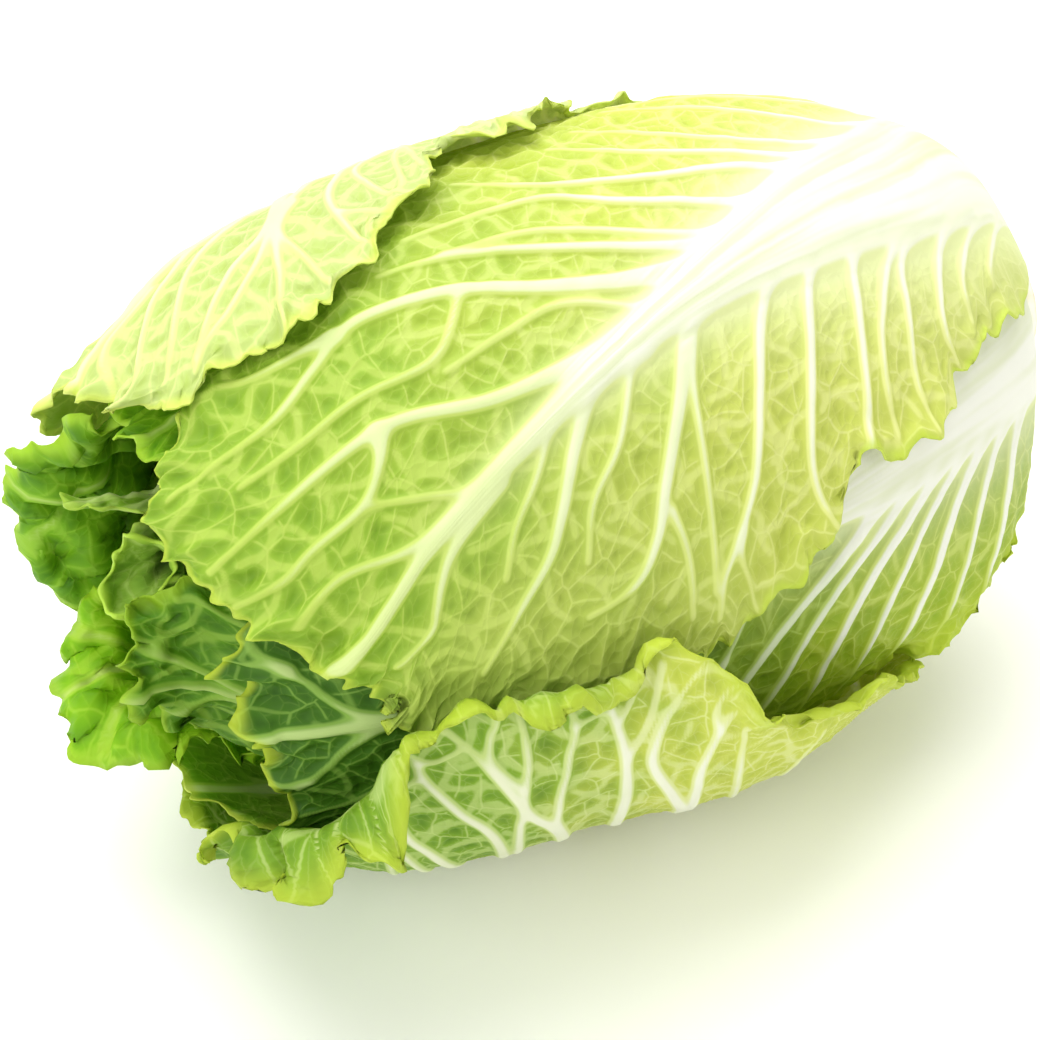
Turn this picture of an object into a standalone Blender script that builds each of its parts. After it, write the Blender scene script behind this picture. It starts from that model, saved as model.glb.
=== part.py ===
"""Napa cabbage: a whole cut head lying on its side, built leaf by leaf round its stem.

Metres, +Z up. The head's axis runs along X: the cut stem looks to +X and the open, leafy
tip to -X. The origin is the middle of the small flat on which the lowest leaf rests.

Every leaf lies in a shell round the axis. A place on it is given by
  s      how far along the head it is: 0 at the stem end, 1 at the tip end
  angle  degrees round the axis: 0 faces -Y, 90 is up, 180 faces +Y, 270 is down
  sunk   how deep its shell lies under the outermost shell
"""
import math

import bmesh
import bpy
import numpy as np

# ---- driving dimensions of the head ------------------------------------------------------
HEAD_LENGTH = 0.270
HEAD_RADIUS = 0.0898
REST_SINK = 0.0030          # how far the round head settles into its resting flat
AXIS_HEIGHT = HEAD_RADIUS - REST_SINK
# share of HEAD_RADIUS along the head
OUTLINE = ((0.0, 0.30), (0.04, 0.52), (0.10, 0.70), (0.20, 0.86), (0.35, 0.97), (0.50, 1.0),
           (0.65, 0.98), (0.80, 0.90), (0.90, 0.76), (0.96, 0.62), (1.0, 0.48), (1.1, 0.30))

# ---- driving dimensions of a leaf --------------------------------------------------------
BLADE = 0.0010              # thickness of the green blade
RIB_HEIGHT = 0.0006         # the side ribs stand this far out of the blade
ROWS_PER_RIB = 3
EDGE_WAVE = 2.2             # degrees by which a leaf's side edges wander
TIP_WAVE = 0.008            # share of the head's length by which its tip edge wanders
COLUMN_CROWDING = 1.25      # over 1, a leaf's columns stand closer at its midrib
TIP_PULL = (0.84, 1.0)      # where along the head an inner leaf draws in to its own tip radius

# ---- driving dimensions of the stem and heart ------------------------------------------------
STEM_RADIUS = 0.0245
CORE_SUNK = 0.0290          # how deep the heart's core lies under the outermost shell
HEART_LEAF_SUNK = 0.040

GREEN = (0.36, 0.60, 0.06)
PALE = (0.62, 0.78, 0.25)
WHITE = (0.83, 0.86, 0.66)
DARK = (0.10, 0.28, 0.03)


def clear_scene():
    for item in list(bpy.data.objects):
        bpy.data.objects.remove(item, do_unlink=True)


def smooth_step(low, high, value):
    share = np.clip((np.asarray(value, float) - low) / (high - low), 0.0, 1.0)
    return share * share * (3.0 - 2.0 * share)


def smooth_curve(knots, at):
    """A smooth curve through (place, value) knots that never overshoots them."""
    place, value = np.array(knots, float).T
    at = np.clip(at, place[0], place[-1])
    gap = np.diff(place)
    rise = np.diff(value) / gap
    slope = np.zeros(len(place))
    turn = rise[:-1] * rise[1:] > 0.0
    slope[1:-1][turn] = (2.0 * rise[:-1] * rise[1:])[turn] / (rise[:-1] + rise[1:])[turn]
    slope[0] = rise[0]
    slope[-1] = rise[-1]
    index = np.clip(np.searchsorted(place, at, side="right") - 1, 0, len(gap) - 1)
    width = gap[index]
    t = (at - place[index]) / width
    return (value[index] * (1.0 + 2.0 * t) * (1.0 - t) ** 2 + value[index + 1] * t * t * (3.0 - 2.0 * t)
            + width * t * (1.0 - t) * (slope[index] * (1.0 - t) - slope[index + 1] * t))


def shell_radius(s):
    return HEAD_RADIUS * smooth_curve(OUTLINE, s)


def grid_normals(points):
    """Unit normals of a grid of points, facing away from the head's axis."""
    along = np.gradient(points, axis=0)
    across = np.gradient(points, axis=1)
    normal = np.cross(along, across)
    normal /= np.linalg.norm(normal, axis=-1, keepdims=True)
    from_axis = points - np.array((0.0, 0.0, AXIS_HEIGHT))
    from_axis[..., 0] = 0.0
    if np.mean(np.sum(normal * from_axis, axis=-1)) < 0.0:
        normal = -normal
    return normal


def place_on_head(s, angle, radius, floor):
    turn = np.radians(angle)
    x = HEAD_LENGTH * (0.5 - s)
    y = -radius * np.cos(turn)
    z = np.maximum(AXIS_HEIGHT + radius * np.sin(turn), floor)
    return np.stack([x, y, z], axis=-1)


def close_grid(outer, inner):
    """Vertices and triangles of the closed solid between two grids, split alike on both."""
    rows, columns = outer.shape[:2]
    count = rows * columns
    vertices = np.concatenate([outer.reshape(-1, 3), inner.reshape(-1, 3)])
    faces = []

    def quad(a, b, c, d):
        faces.append((a, b, c))
        faces.append((a, c, d))

    for i in range(rows - 1):
        for j in range(columns - 1):
            a = i * columns + j
            b = a + 1
            c = b + columns
            d = a + columns
            quad(a, b, c, d)
            faces.append((count + a, count + c, count + b))
            faces.append((count + a, count + d, count + c))
    edge = [j for j in range(columns)]
    edge += [i * columns + columns - 1 for i in range(1, rows)]
    edge += [(rows - 1) * columns + j for j in range(columns - 2, -1, -1)]
    edge += [i * columns for i in range(rows - 2, 0, -1)]
    for here, after in zip(edge, edge[1:] + edge[:1]):
        quad(here, count + here, count + after, after)
    return vertices, faces


def make_material(name, colour, roughness):
    material = bpy.data.materials.new(name)
    material.use_nodes = True
    shader = material.node_tree.nodes["Principled BSDF"]
    shader.inputs["Base Color"].default_value = (*colour, 1.0)
    shader.inputs["Roughness"].default_value = roughness
    shader.inputs["Metallic"].default_value = 0.0
    return material


def add_object(name, vertices, faces, material):
    mesh = bpy.data.meshes.new(name)
    mesh.from_pydata([tuple(point) for point in vertices], [], faces)
    work = bmesh.new()
    work.from_mesh(mesh)
    bmesh.ops.recalc_face_normals(work, faces=work.faces)
    work.to_mesh(mesh)
    work.free()
    mesh.materials.append(material)
    item = bpy.data.objects.new(name, mesh)
    bpy.context.scene.collection.objects.link(item)
    return item


def level(depth):
    return ((-1.0, depth), (1.0, depth))


def leaf_grids(rows, columns, start, midrib, low_edge, high_edge, reach, sunk, rib_width, rib_out, rib_in,
               ruffle, waves, phase, sweep=0.5, crowd=0.25, tip_radius=None, lift=None,
               blade_from=(0.10, 0.30)):
    """Outer and inner grid of one leaf.

    midrib, low_edge and high_edge give angles at places s; reach gives how far along the head
    the leaf gets at each place across it, from -1 at the low edge to 1 at the high edge, and
    sunk how deep its shell lies there.
    rib_width, rib_out and rib_in give the midrib's width and how far it bulges each way.
    """
    even = np.linspace(0.0, 1.0, rows)
    u = (1.0 - crowd) * even + crowd * 0.5 * (1.0 - np.cos(math.pi * even))
    across = np.linspace(-1.0, 1.0, columns)
    v = np.sign(across) * np.abs(across) ** COLUMN_CROWDING
    u, v = np.meshgrid(u, v, indexing="ij")
    row = np.arange(rows)[:, None] * np.ones(columns)

    # outline: the rows sweep towards the tip as the side ribs do, and the edge is waved
    rim = 1.0 - (1.0 - np.abs(v) ** 5) * (1.0 - u ** 10)
    blade = smooth_step(*blade_from, u)
    turn = 2.0 * math.pi * waves
    wave = (0.65 * np.sin(turn * (u + 0.4 * v) + phase)
            + 0.35 * np.sin(turn * (1.6 * u - 0.7 * v) + 2.0 * phase))
    swept = u + sweep * np.abs(v) * u * (1.0 - u)
    tip_wave = TIP_WAVE * u ** 6 * (1.0 - 0.7 * np.abs(v) ** 3) * wave
    s = start + (smooth_curve(reach, v) - start) * swept + tip_wave
    middle = smooth_curve(midrib, s)
    edge = np.where(v < 0.0, middle - smooth_curve(low_edge, s), smooth_curve(high_edge, s) - middle)
    angle = middle + v * edge + EDGE_WAVE * v ** 5 * blade * smooth_step(1.0, 0.85, u) * wave

    # shell: follows the head, or draws in or out to its own radius at the tip
    depth = smooth_curve(sunk, v)
    radius = shell_radius(s) - depth
    if tip_radius is not None:
        pull = smooth_step(*TIP_PULL, s)
        radius = radius * (1.0 - pull) + smooth_curve(tip_radius, v) * pull
    if lift is not None:
        radius = radius + lift(s, v)
    corner = 1.0 - 0.5 * np.abs(v) ** 4 * u ** 8
    radius = radius + ruffle(s, v) * rim ** 2 * blade * corner * (0.55 + 0.45 * wave)
    base = place_on_head(s, angle, radius, depth)
    normal = grid_normals(base)

    # thickness: broad white midrib, and a low rib on every third row
    away = np.abs(angle - middle) * math.pi / 180.0 * radius
    bulge = np.clip(1.0 - (away / (0.5 * smooth_curve(rib_width, s))) ** 2, 0.0, 1.0)
    bulge = bulge * smooth_step(0.0, 0.08, u)
    side_rib = (row % ROWS_PER_RIB == 1) * blade * (1.0 - np.abs(v) ** 3) * smooth_step(1.0, 0.9, u)
    outward = np.maximum(smooth_curve(rib_out, s) * bulge, RIB_HEIGHT * side_rib)
    inward = BLADE + smooth_curve(rib_in, s) * bulge
    outer = base + normal * outward[..., None]
    outer[..., 2] = np.maximum(outer[..., 2], depth)
    inner = base - normal * inward[..., None]
    return outer, inner


def add_leaf(name, material, **shape):
    outer, inner = leaf_grids(**shape)
    vertices, faces = close_grid(outer, inner)
    return add_object(name, vertices, faces, material)


PETIOLE = ((0.0, 0.040), (0.07, 0.055), (0.30, 0.040), (0.53, 0.014), (0.74, 0.006), (0.90, 0.004))


def lower_leaf():
    """The outermost leaf, which wraps the head from below and carries its weight.

    Its front half bags outwards before it reaches its margin, and its front tip stands loose.
    """
    bulge = ((0.16, 0.0), (0.24, 0.0030), (0.36, 0.0074), (0.45, 0.0100), (0.55, 0.0068), (0.66, 0.0))

    def lift(s, v):
        loose_corner = 0.0060 * smooth_step(0.50, 1.0, v) * smooth_step(0.86, 0.94, s)
        return smooth_curve(bulge, s) * smooth_step(0.15, 0.62, v) + loose_corner

    add_leaf(
        "lower_leaf", make_material("lower_leaf", PALE, 0.42),
        rows=31, columns=18, start=0.0, sunk=((-1.0, 0.0), (0.35, 0.0), (1.0, 0.0010)),
        midrib=((0.0, -86), (0.5, -84), (0.8, -76), (1.0, -62)),
        low_edge=((0.0, -136), (0.1, -148), (0.4, -163), (0.7, -160), (0.9, -138), (1.0, -118)),
        high_edge=((0.0, -56), (0.1, -52), (0.2, -42), (0.25, -35), (0.29, -29), (0.34, -21), (0.40, -13),
                   (0.48, -8), (0.53, -7), (0.58, 5), (0.65, 14), (0.80, 14), (0.86, 11), (0.93, -2),
                   (1.0, -14)),
        reach=((-1.0, 0.88), (-0.5, 0.935), (0.0, 0.955), (0.5, 0.965), (0.8, 0.950), (1.0, 0.925)),
        rib_width=PETIOLE, rib_out=((0.0, 0.0016), (1.0, 0.0005)),
        rib_in=((0.0, 0.0020), (0.6, 0.0014), (1.0, 0.0)),
        ruffle=lambda s, v: 0.0046 + 0.0035 * smooth_step(0.85, 0.95, s), waves=6, phase=0.6,
        lift=lift, blade_from=(0.04, 0.18))


def back_leaf():
    """Wraps the head from behind; its front edge lies over the front leaf."""
    add_leaf(
        "back_leaf", make_material("back_leaf", PALE, 0.42),
        rows=27, columns=16, start=0.010,
        sunk=((-1.0, 0.0012), (-0.5, 0.0), (0.3, 0.0005), (0.75, 0.0034), (1.0, 0.0036)),
        midrib=((0.0, 166), (0.2, 160), (0.5, 150), (0.75, 134), (1.0, 108)),
        low_edge=((0.0, 128), (0.1, 132), (0.3, 136), (0.38, 128), (0.44, 114), (0.60, 102), (0.70, 88),
                  (0.80, 82), (0.90, 82), (1.0, 84)),
        high_edge=((0.0, 216), (0.1, 214), (0.4, 214), (0.7, 212), (0.9, 192), (1.0, 162)),
        reach=((-1.0, 0.93), (-0.6, 0.950), (0.0, 0.953), (0.5, 0.943), (1.0, 0.90)),
        rib_width=PETIOLE, rib_out=((0.0, 0.0020), (1.0, 0.0005)),
        rib_in=((0.0, 0.003), (0.6, 0.001), (1.0, 0.0)),
        ruffle=lambda s, v: 0.0010 + 0.0050 * smooth_step(0.42, 0.56, s) * smooth_step(0.7, 0.3, v),
        waves=5.5, phase=1.9)


def front_leaf():
    """The large leaf over the top and front, with its broad curved white rib."""
    def ruffle(s, v):
        low_side = 0.0040 * (1.0 - smooth_step(0.45, 0.56, s))
        return np.where(v < 0.0, low_side, 0.0030 * smooth_step(0.88, 0.94, s)) + 0.0004

    add_leaf(
        "front_leaf", make_material("front_leaf", GREEN, 0.40),
        rows=31, columns=18, start=0.010, sunk=level(0.0042),
        midrib=((0.0, 84), (0.07, 83), (0.21, 71), (0.35, 66), (0.50, 59.5), (0.65, 50.5), (0.79, 38),
                (0.88, 22), (1.0, 10)),
        low_edge=((0.0, 56), (0.05, 45), (0.105, 37), (0.21, 33), (0.27, 26), (0.38, 26), (0.42, 14),
                  (0.50, 12), (0.56, 0), (0.70, -2), (0.86, 8), (1.0, 10)),
        high_edge=((0.0, 110), (0.05, 124), (0.2, 138), (0.5, 138), (0.7, 122), (0.85, 100), (0.93, 82),
                   (1.0, 74)),
        reach=((-1.0, 0.865), (-0.5, 0.875), (0.0, 0.89), (0.25, 0.93), (0.5, 0.957), (0.75, 0.965),
               (1.0, 0.92)),
        rib_width=PETIOLE, rib_out=((0.0, 0.0030), (0.6, 0.0016), (0.8, 0.0004), (1.0, 0.0003)),
        rib_in=((0.0, 0.003), (0.6, 0.001), (1.0, 0.0)), ruffle=ruffle, waves=6, phase=0.2,
        blade_from=(0.03, 0.18))


def side_leaf():
    """Under the front leaf, low on the front side; near the stem its lower margin flares out."""
    def ruffle(s, v):
        loose = 0.0040 * smooth_step(0.0, -0.6, v) * smooth_step(0.34, 0.24, s)
        return 0.0006 + loose + 0.0020 * smooth_step(0.90, 0.94, s)

    def flare(s, v):
        along = smooth_step(0.03, 0.16, s) * smooth_step(0.58, 0.44, s)
        return (0.0110 - 0.0035 * smooth_step(0.24, 0.34, s)) * smooth_step(-0.30, -0.90, v) * along

    add_leaf(
        "side_leaf", make_material("side_leaf", GREEN, 0.42),
        rows=25, columns=14, start=0.022, sunk=level(0.0098),
        midrib=((0.0, 31), (0.13, 29), (0.27, 26), (0.39, 22), (0.6, 15), (0.8, 8), (1.0, 4)),
        low_edge=((0.0, -8), (0.05, -18), (0.12, -25), (0.21, -29), (0.30, -32), (0.38, -37), (0.45, -43),
                  (0.6, -48), (0.85, -40), (1.0, -14)),
        high_edge=((0.0, 54), (0.1, 62), (0.4, 70), (0.7, 64), (0.9, 45), (1.0, 28)),
        reach=((-1.0, 0.90), (-0.5, 0.945), (0.0, 0.952), (0.5, 0.955), (1.0, 0.92)),
        rib_width=PETIOLE, rib_out=((0.0, 0.0012), (0.6, 0.0008), (1.0, 0.0003)),
        rib_in=((0.0, 0.0012), (1.0, 0.0)), ruffle=ruffle, waves=5.5, phase=2.6, lift=flare,
        blade_from=(0.02, 0.10))


def rear_leaf():
    """Under the back and lower leaves on the far side, where their edges meet."""
    add_leaf(
        "rear_leaf", make_material("rear_leaf", PALE, 0.42),
        rows=19, columns=12, start=0.022, sunk=level(0.0098),
        midrib=((0.0, 212), (0.5, 208), (1.0, 200)),
        low_edge=((0.0, 188), (0.1, 172), (0.4, 160), (0.7, 162), (1.0, 180)),
        high_edge=((0.0, 236), (0.1, 246), (0.4, 257), (0.7, 252), (1.0, 226)),
        reach=((-1.0, 0.90), (0.0, 0.95), (1.0, 0.90)),
        rib_width=PETIOLE, rib_out=((0.0, 0.0012), (1.0, 0.0004)), rib_in=((0.0, 0.0012), (1.0, 0.0)),
        ruffle=lambda s, v: 0.0010 + 0.0030 * smooth_step(0.90, 0.94, s), waves=4.5, phase=4.0)


def under_leaf():
    """Between the lower leaf and the side and rear leaves, along the underside."""
    add_leaf(
        "under_leaf", make_material("under_leaf", PALE, 0.42),
        rows=16, columns=10, start=0.012, sunk=level(0.0052),
        midrib=((0.0, -92), (1.0, -88)), low_edge=((0.0, -124), (0.3, -132), (0.8, -128), (1.0, -112)),
        high_edge=((0.0, -70), (0.3, -66), (0.8, -66), (1.0, -72)),
        reach=((-1.0, 0.90), (0.0, 0.945), (1.0, 0.91)),
        rib_width=PETIOLE, rib_out=((0.0, 0.0), (1.0, 0.0)),
        rib_in=((0.0, 0.0020), (0.5, 0.0010), (1.0, 0.0)),
        ruffle=lambda s, v: 0.0004 + 0.0020 * smooth_step(0.88, 0.94, s), waves=4, phase=5.2, crowd=0.7)


# what the crinkled leaves of the inner head share; their tips stand up in the open end
INNER = dict(
    rib_width=((0.0, 0.030), (0.3, 0.024), (0.7, 0.006), (0.9, 0.0028), (1.1, 0.0014)),
    rib_out=((0.0, 0.0008), (1.0, 0.0004)), rib_in=((0.0, 0.0006), (1.0, 0.0)), crowd=0.85, sweep=0.4)


def inner_leaf_top():
    """Lies along the top, under the front leaf; only its tip shows."""
    add_leaf(
        "inner_leaf_top", make_material("inner_leaf_top", GREEN, 0.45),
        rows=15, columns=10, start=0.030, sunk=level(0.0126),
        midrib=((0.0, 96), (1.0, 92)), low_edge=((0.0, 74), (0.3, 52), (0.8, 54), (1.0, 70)),
        high_edge=((0.0, 118), (0.3, 142), (0.8, 138), (1.0, 122)),
        reach=((-1.0, 0.89), (0.0, 0.945), (1.0, 0.90)),
        ruffle=lambda s, v: 0.0008 + 0.0020 * smooth_step(0.88, 0.94, s), waves=4, phase=1.0,
        tip_radius=level(0.052), **INNER)


def inner_leaf_upper():
    """Behind the top one; its crumpled tip leans outwards over the back."""
    add_leaf(
        "inner_leaf_upper", make_material("inner_leaf_upper", DARK, 0.42),
        rows=20, columns=13, start=0.036, sunk=level(0.0160),
        midrib=((0.0, 165), (0.8, 162), (1.0, 165)),
        low_edge=((0.0, 140), (0.3, 112), (0.8, 112), (1.1, 124)),
        high_edge=((0.0, 190), (0.3, 212), (0.8, 210), (1.1, 204)),
        reach=((-1.0, 0.950), (-0.4, 0.985), (0.2, 1.01), (0.6, 1.0), (1.0, 0.955)),
        ruffle=lambda s, v: 0.0008 + 0.0050 * smooth_step(0.94, 0.98, s), waves=5, phase=0.4,
        tip_radius=((-1.0, 0.042), (0.3, 0.046), (1.0, 0.047)), **INNER)


def inner_leaf_fan():
    """Low on the far side; its tip opens like a fan."""
    add_leaf(
        "inner_leaf_fan", make_material("inner_leaf_fan", GREEN, 0.42),
        rows=20, columns=12, start=0.040, sunk=level(0.0190),
        midrib=((0.0, 246), (0.8, 240), (1.1, 236)),
        low_edge=((0.0, 222), (0.3, 196), (0.8, 198), (1.1, 196)),
        high_edge=((0.0, 270), (0.3, 292), (0.8, 288), (1.1, 284)),
        reach=((-1.0, 0.965), (-0.3, 1.020), (0.2, 1.042), (0.7, 1.015), (1.0, 0.96)),
        ruffle=lambda s, v: 0.0008 + 0.0040 * smooth_step(0.96, 1.0, s), waves=5, phase=2.2,
        tip_radius=((-1.0, 0.028), (0.0, 0.026), (1.0, 0.032)),
        lift=lambda s, v: 0.004 * smooth_step(0.98, 1.03, s), **INNER)


def inner_leaf_net():
    """On the front side, with a coarse net of veins."""
    add_leaf(
        "inner_leaf_net", make_material("inner_leaf_net", DARK, 0.42),
        rows=16, columns=12, start=0.050, sunk=level(0.0222),
        midrib=((0.0, -14), (0.8, -10), (1.0, 0)), low_edge=((0.0, -38), (0.3, -64), (0.8, -62), (1.0, -60)),
        high_edge=((0.0, 10), (0.3, 38), (0.8, 43), (0.9, 50), (1.0, 62)),
        reach=((-1.0, 0.94), (0.0, 1.010), (1.0, 0.985)),
        ruffle=lambda s, v: 0.0006 + 0.0020 * smooth_step(0.93, 0.98, s), waves=4, phase=3.3,
        tip_radius=((-1.0, 0.022), (0.0, 0.018), (1.0, 0.025)), **INNER)


def solid_of_turning(name, profile, segments, bend, material):
    """A closed solid turned round the head's axis from (s, radius) points, ends on the axis."""
    vertices = []
    faces = []
    for s, radius in profile[1:-1]:
        for k in range(segments):
            angle = 360.0 * k / segments
            vertices.append(place_on_head(s, angle, bend(s, angle, radius), 0.0))
    first = len(vertices)
    vertices.append(place_on_head(profile[0][0], 0.0, 0.0, 0.0))
    vertices.append(place_on_head(profile[-1][0], 0.0, 0.0, 0.0))
    rings = len(profile) - 2
    for i in range(rings - 1):
        for k in range(segments):
            a = i * segments + k
            b = i * segments + (k + 1) % segments
            faces.append((a, b, b + segments))
            faces.append((a, b + segments, a + segments))
    last = (rings - 1) * segments
    for k in range(segments):
        after = (k + 1) % segments
        faces.append((first, after, k))
        faces.append((first + 1, last + k, last + after))
    return add_object(name, vertices, faces, material)


def join_solids(items, name):
    """One Boolean union of closed solids, applied, with the joined ones removed."""
    body = items[0]
    group = bpy.data.collections.new(name + "_pieces")
    bpy.context.scene.collection.children.link(group)
    for item in items[1:]:
        bpy.context.scene.collection.objects.unlink(item)
        group.objects.link(item)
    union = body.modifiers.new("union", "BOOLEAN")
    union.operation = "UNION"
    union.operand_type = "COLLECTION"
    union.collection = group
    union.solver = "EXACT"
    graph = bpy.context.evaluated_depsgraph_get()
    joined = bpy.data.meshes.new_from_object(body.evaluated_get(graph))
    body.modifiers.clear()
    body.data = joined
    for item in list(group.objects):
        bpy.data.objects.remove(item, do_unlink=True)
    bpy.data.collections.remove(group)
    body.name = name
    return body


def unit(vectors):
    return vectors / np.linalg.norm(vectors, axis=-1, keepdims=True)


def rolled_leaf(name, material, foot, mouth, facing, neck, flare, seam):
    """A small leaf rolled into a trumpet that bends from its foot to face outwards at its mouth."""
    rows = 9
    columns = 15
    opening = 20.0
    t, w = np.meshgrid(np.linspace(0.0, 1.0, rows), np.linspace(-1.0, 1.0, columns), indexing="ij")
    foot, mouth, facing = np.array(foot), np.array(mouth), np.array(facing)
    towards_tip = np.array((-1.0, 0.0, 0.0))
    pull = 0.4 * np.linalg.norm(mouth - foot)
    bend = (foot, foot + pull * towards_tip, mouth - pull * facing, mouth)
    back = 1.0 - t
    shares = (back ** 3, 3.0 * back ** 2 * t, 3.0 * back * t ** 2, t ** 3)
    middle = sum(share[..., None] * point for share, point in zip(shares, bend))
    way = unit(back[..., None] * towards_tip + t[..., None] * facing)
    side = unit(np.cross(way, np.array((0.0, 0.0, 1.0))))
    top = np.cross(side, way)
    around = np.radians((180.0 - 0.5 * opening) * w + seam)
    out = np.cos(around)[..., None] * side + np.sin(around)[..., None] * top
    wide = (neck + flare * smooth_step(0.66, 1.0, t) ** 1.5) * (1.0 + 0.08 * np.sin(7.0 * w))
    outer = middle + wide[..., None] * out
    inner = middle + (wide - 1.2 * BLADE)[..., None] * out
    vertices, faces = close_grid(outer, inner)
    return add_object(name, vertices, faces, material)


def heart_tip(material, middle, spread, end, tip_radius, phase):
    """The free end of a heart leaf; the rest of it is wrapped into the core."""
    outer, inner = leaf_grids(
        rows=8, columns=8, start=0.66, sunk=level(HEART_LEAF_SUNK),
        midrib=((0.0, middle), (1.0, middle)), low_edge=((0.0, middle - spread), (1.0, middle - spread)),
        high_edge=((0.0, middle + spread), (1.0, middle + spread)),
        reach=((-1.0, end - 0.05), (0.0, end), (1.0, end - 0.04)), rib_width=((0.0, 0.006), (1.0, 0.004)),
        rib_out=((0.0, 0.0006), (1.0, 0.0006)), rib_in=((0.0, 0.0), (1.0, 0.0)),
        ruffle=lambda s, v: 0.0024 * smooth_step(0.88, 0.94, s), waves=3, phase=phase,
        tip_radius=level(tip_radius))
    vertices, faces = close_grid(outer, inner)
    return add_object("heart_tip", vertices, faces, material)


def heart_core(material):
    """The leaves too tightly wrapped to part, as one fluted solid."""
    places = (0.085, 0.12, 0.20, 0.32, 0.45, 0.58, 0.68, 0.76, 0.82, 0.86)
    profile = [(places[0], 0.0)]
    for s in places:
        tight = 1.0 - 0.35 * float(smooth_step(0.6, 0.86, s))
        profile.append((s, (float(shell_radius(s)) - CORE_SUNK) * tight))
    profile.append((0.875, 0.0))

    def flute(s, angle, radius):
        return radius * (1.0 - 0.05 * abs(math.sin(math.radians(2.5 * angle + 90.0 * s))))

    return solid_of_turning("heart_core", profile, 20, flute, material)


def heart():
    """The tight heart of the head, with the rolled centre leaf and the tips that stand out of it."""
    material = make_material("heart", GREEN, 0.45)
    core = heart_core(material)
    roll = rolled_leaf(
        "heart_roll", material, foot=(HEAD_LENGTH * (0.5 - 0.80), 0.0060, 0.1040),
        mouth=(HEAD_LENGTH * (0.5 - 0.955), 0.0020, 0.1000), facing=(-0.70, -0.42, 0.58),
        neck=0.0068, flare=0.0040, seam=60.0)
    tips = [heart_tip(material, 120.0, 20.0, 0.992, 0.034, 0.5),
            heart_tip(material, 190.0, 40.0, 0.960, 0.020, 1.7),
            heart_tip(material, 300.0, 42.0, 0.950, 0.012, 2.9),
            heart_tip(material, 74.0, 26.0, 0.930, 0.030, 4.1)]
    join_solids([core, roll] + tips, "heart")


def stem_butt():
    """The cut stem: a stout white stump whose face is slightly hollow."""
    profile = ((-0.010, 0.0), (-0.011, 0.010), (-0.013, 0.019), (-0.011, 0.0232), (-0.004, STEM_RADIUS),
               (0.030, STEM_RADIUS), (0.055, 0.021), (0.070, 0.015), (0.074, 0.0))
    solid_of_turning("stem_butt", profile, 28, lambda s, angle, radius: radius,
                     make_material("stem_butt", WHITE, 0.60))


clear_scene()
lower_leaf()
back_leaf()
front_leaf()
side_leaf()
rear_leaf()
under_leaf()
inner_leaf_top()
inner_leaf_upper()
inner_leaf_fan()
inner_leaf_net()
heart()
stem_butt()
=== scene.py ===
import math

import bpy
import numpy as np
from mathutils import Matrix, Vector


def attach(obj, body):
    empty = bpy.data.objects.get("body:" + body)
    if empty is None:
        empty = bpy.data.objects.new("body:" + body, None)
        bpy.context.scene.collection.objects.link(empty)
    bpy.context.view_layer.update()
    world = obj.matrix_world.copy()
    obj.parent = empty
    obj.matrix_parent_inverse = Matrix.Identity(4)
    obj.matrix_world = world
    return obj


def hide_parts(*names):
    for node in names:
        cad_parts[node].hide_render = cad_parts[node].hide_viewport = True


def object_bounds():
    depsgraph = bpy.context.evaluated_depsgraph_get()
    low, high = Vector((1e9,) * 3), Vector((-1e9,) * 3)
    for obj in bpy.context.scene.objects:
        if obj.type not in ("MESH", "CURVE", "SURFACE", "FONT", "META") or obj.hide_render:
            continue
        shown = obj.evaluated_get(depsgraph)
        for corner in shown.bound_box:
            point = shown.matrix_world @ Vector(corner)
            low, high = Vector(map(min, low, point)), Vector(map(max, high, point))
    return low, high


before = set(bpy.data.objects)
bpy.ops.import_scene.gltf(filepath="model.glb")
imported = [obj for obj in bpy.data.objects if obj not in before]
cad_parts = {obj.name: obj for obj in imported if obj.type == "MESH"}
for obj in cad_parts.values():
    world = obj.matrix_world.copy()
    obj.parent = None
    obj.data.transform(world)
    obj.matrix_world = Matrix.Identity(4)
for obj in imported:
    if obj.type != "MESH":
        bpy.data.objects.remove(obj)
cad_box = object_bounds()

# ---- the table, the light and the camera ---------------------------------------------------
# A pale seamless table under a bright white tent. One broad lamp stands high behind the head,
# so its top glows and its shadow falls softly towards the viewer.
def put_in_scene(name, data):
    thing = bpy.data.objects.new(name, data)
    bpy.context.scene.collection.objects.link(thing)
    return thing


def new_paint(name, settings):
    """A new material and its shader, which has these settings."""
    paint = bpy.data.materials.new(name)
    paint.use_nodes = True
    shader = paint.node_tree.nodes["Principled BSDF"]
    for label, value in settings.items():
        shader.inputs[label].default_value = value
    return paint, shader


def from_hex(code):
    """An sRGB hex colour as linear red, green, blue and alpha."""
    parts = [int(code[i:i + 2], 16) / 255.0 for i in (1, 3, 5)]
    return tuple(p / 12.92 if p <= 0.04045 else ((p + 0.055) / 1.055) ** 2.4 for p in parts) + (1.0,)


node_kinds = {      # short names for some nodes: their kind, settings, inputs in order and output
    "times": ("ShaderNodeMath", {"operation": "MULTIPLY"}, (0, 1), 0),
    "plus": ("ShaderNodeMath", {"operation": "ADD"}, (0, 1), 0),
    "minus": ("ShaderNodeMath", {"operation": "SUBTRACT"}, (0, 1), 0),
    "least": ("ShaderNodeMath", {"operation": "MINIMUM"}, (0, 1), 0),
    "most": ("ShaderNodeMath", {"operation": "MAXIMUM"}, (0, 1), 0),
    "fade": ("ShaderNodeMapRange", {"interpolation_type": "SMOOTHSTEP"}, (0, 1, 2, 3, 4), 0),
    "mix": ("ShaderNodeMix", {"data_type": "RGBA"}, (0, 6, 7), 2)}


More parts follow.
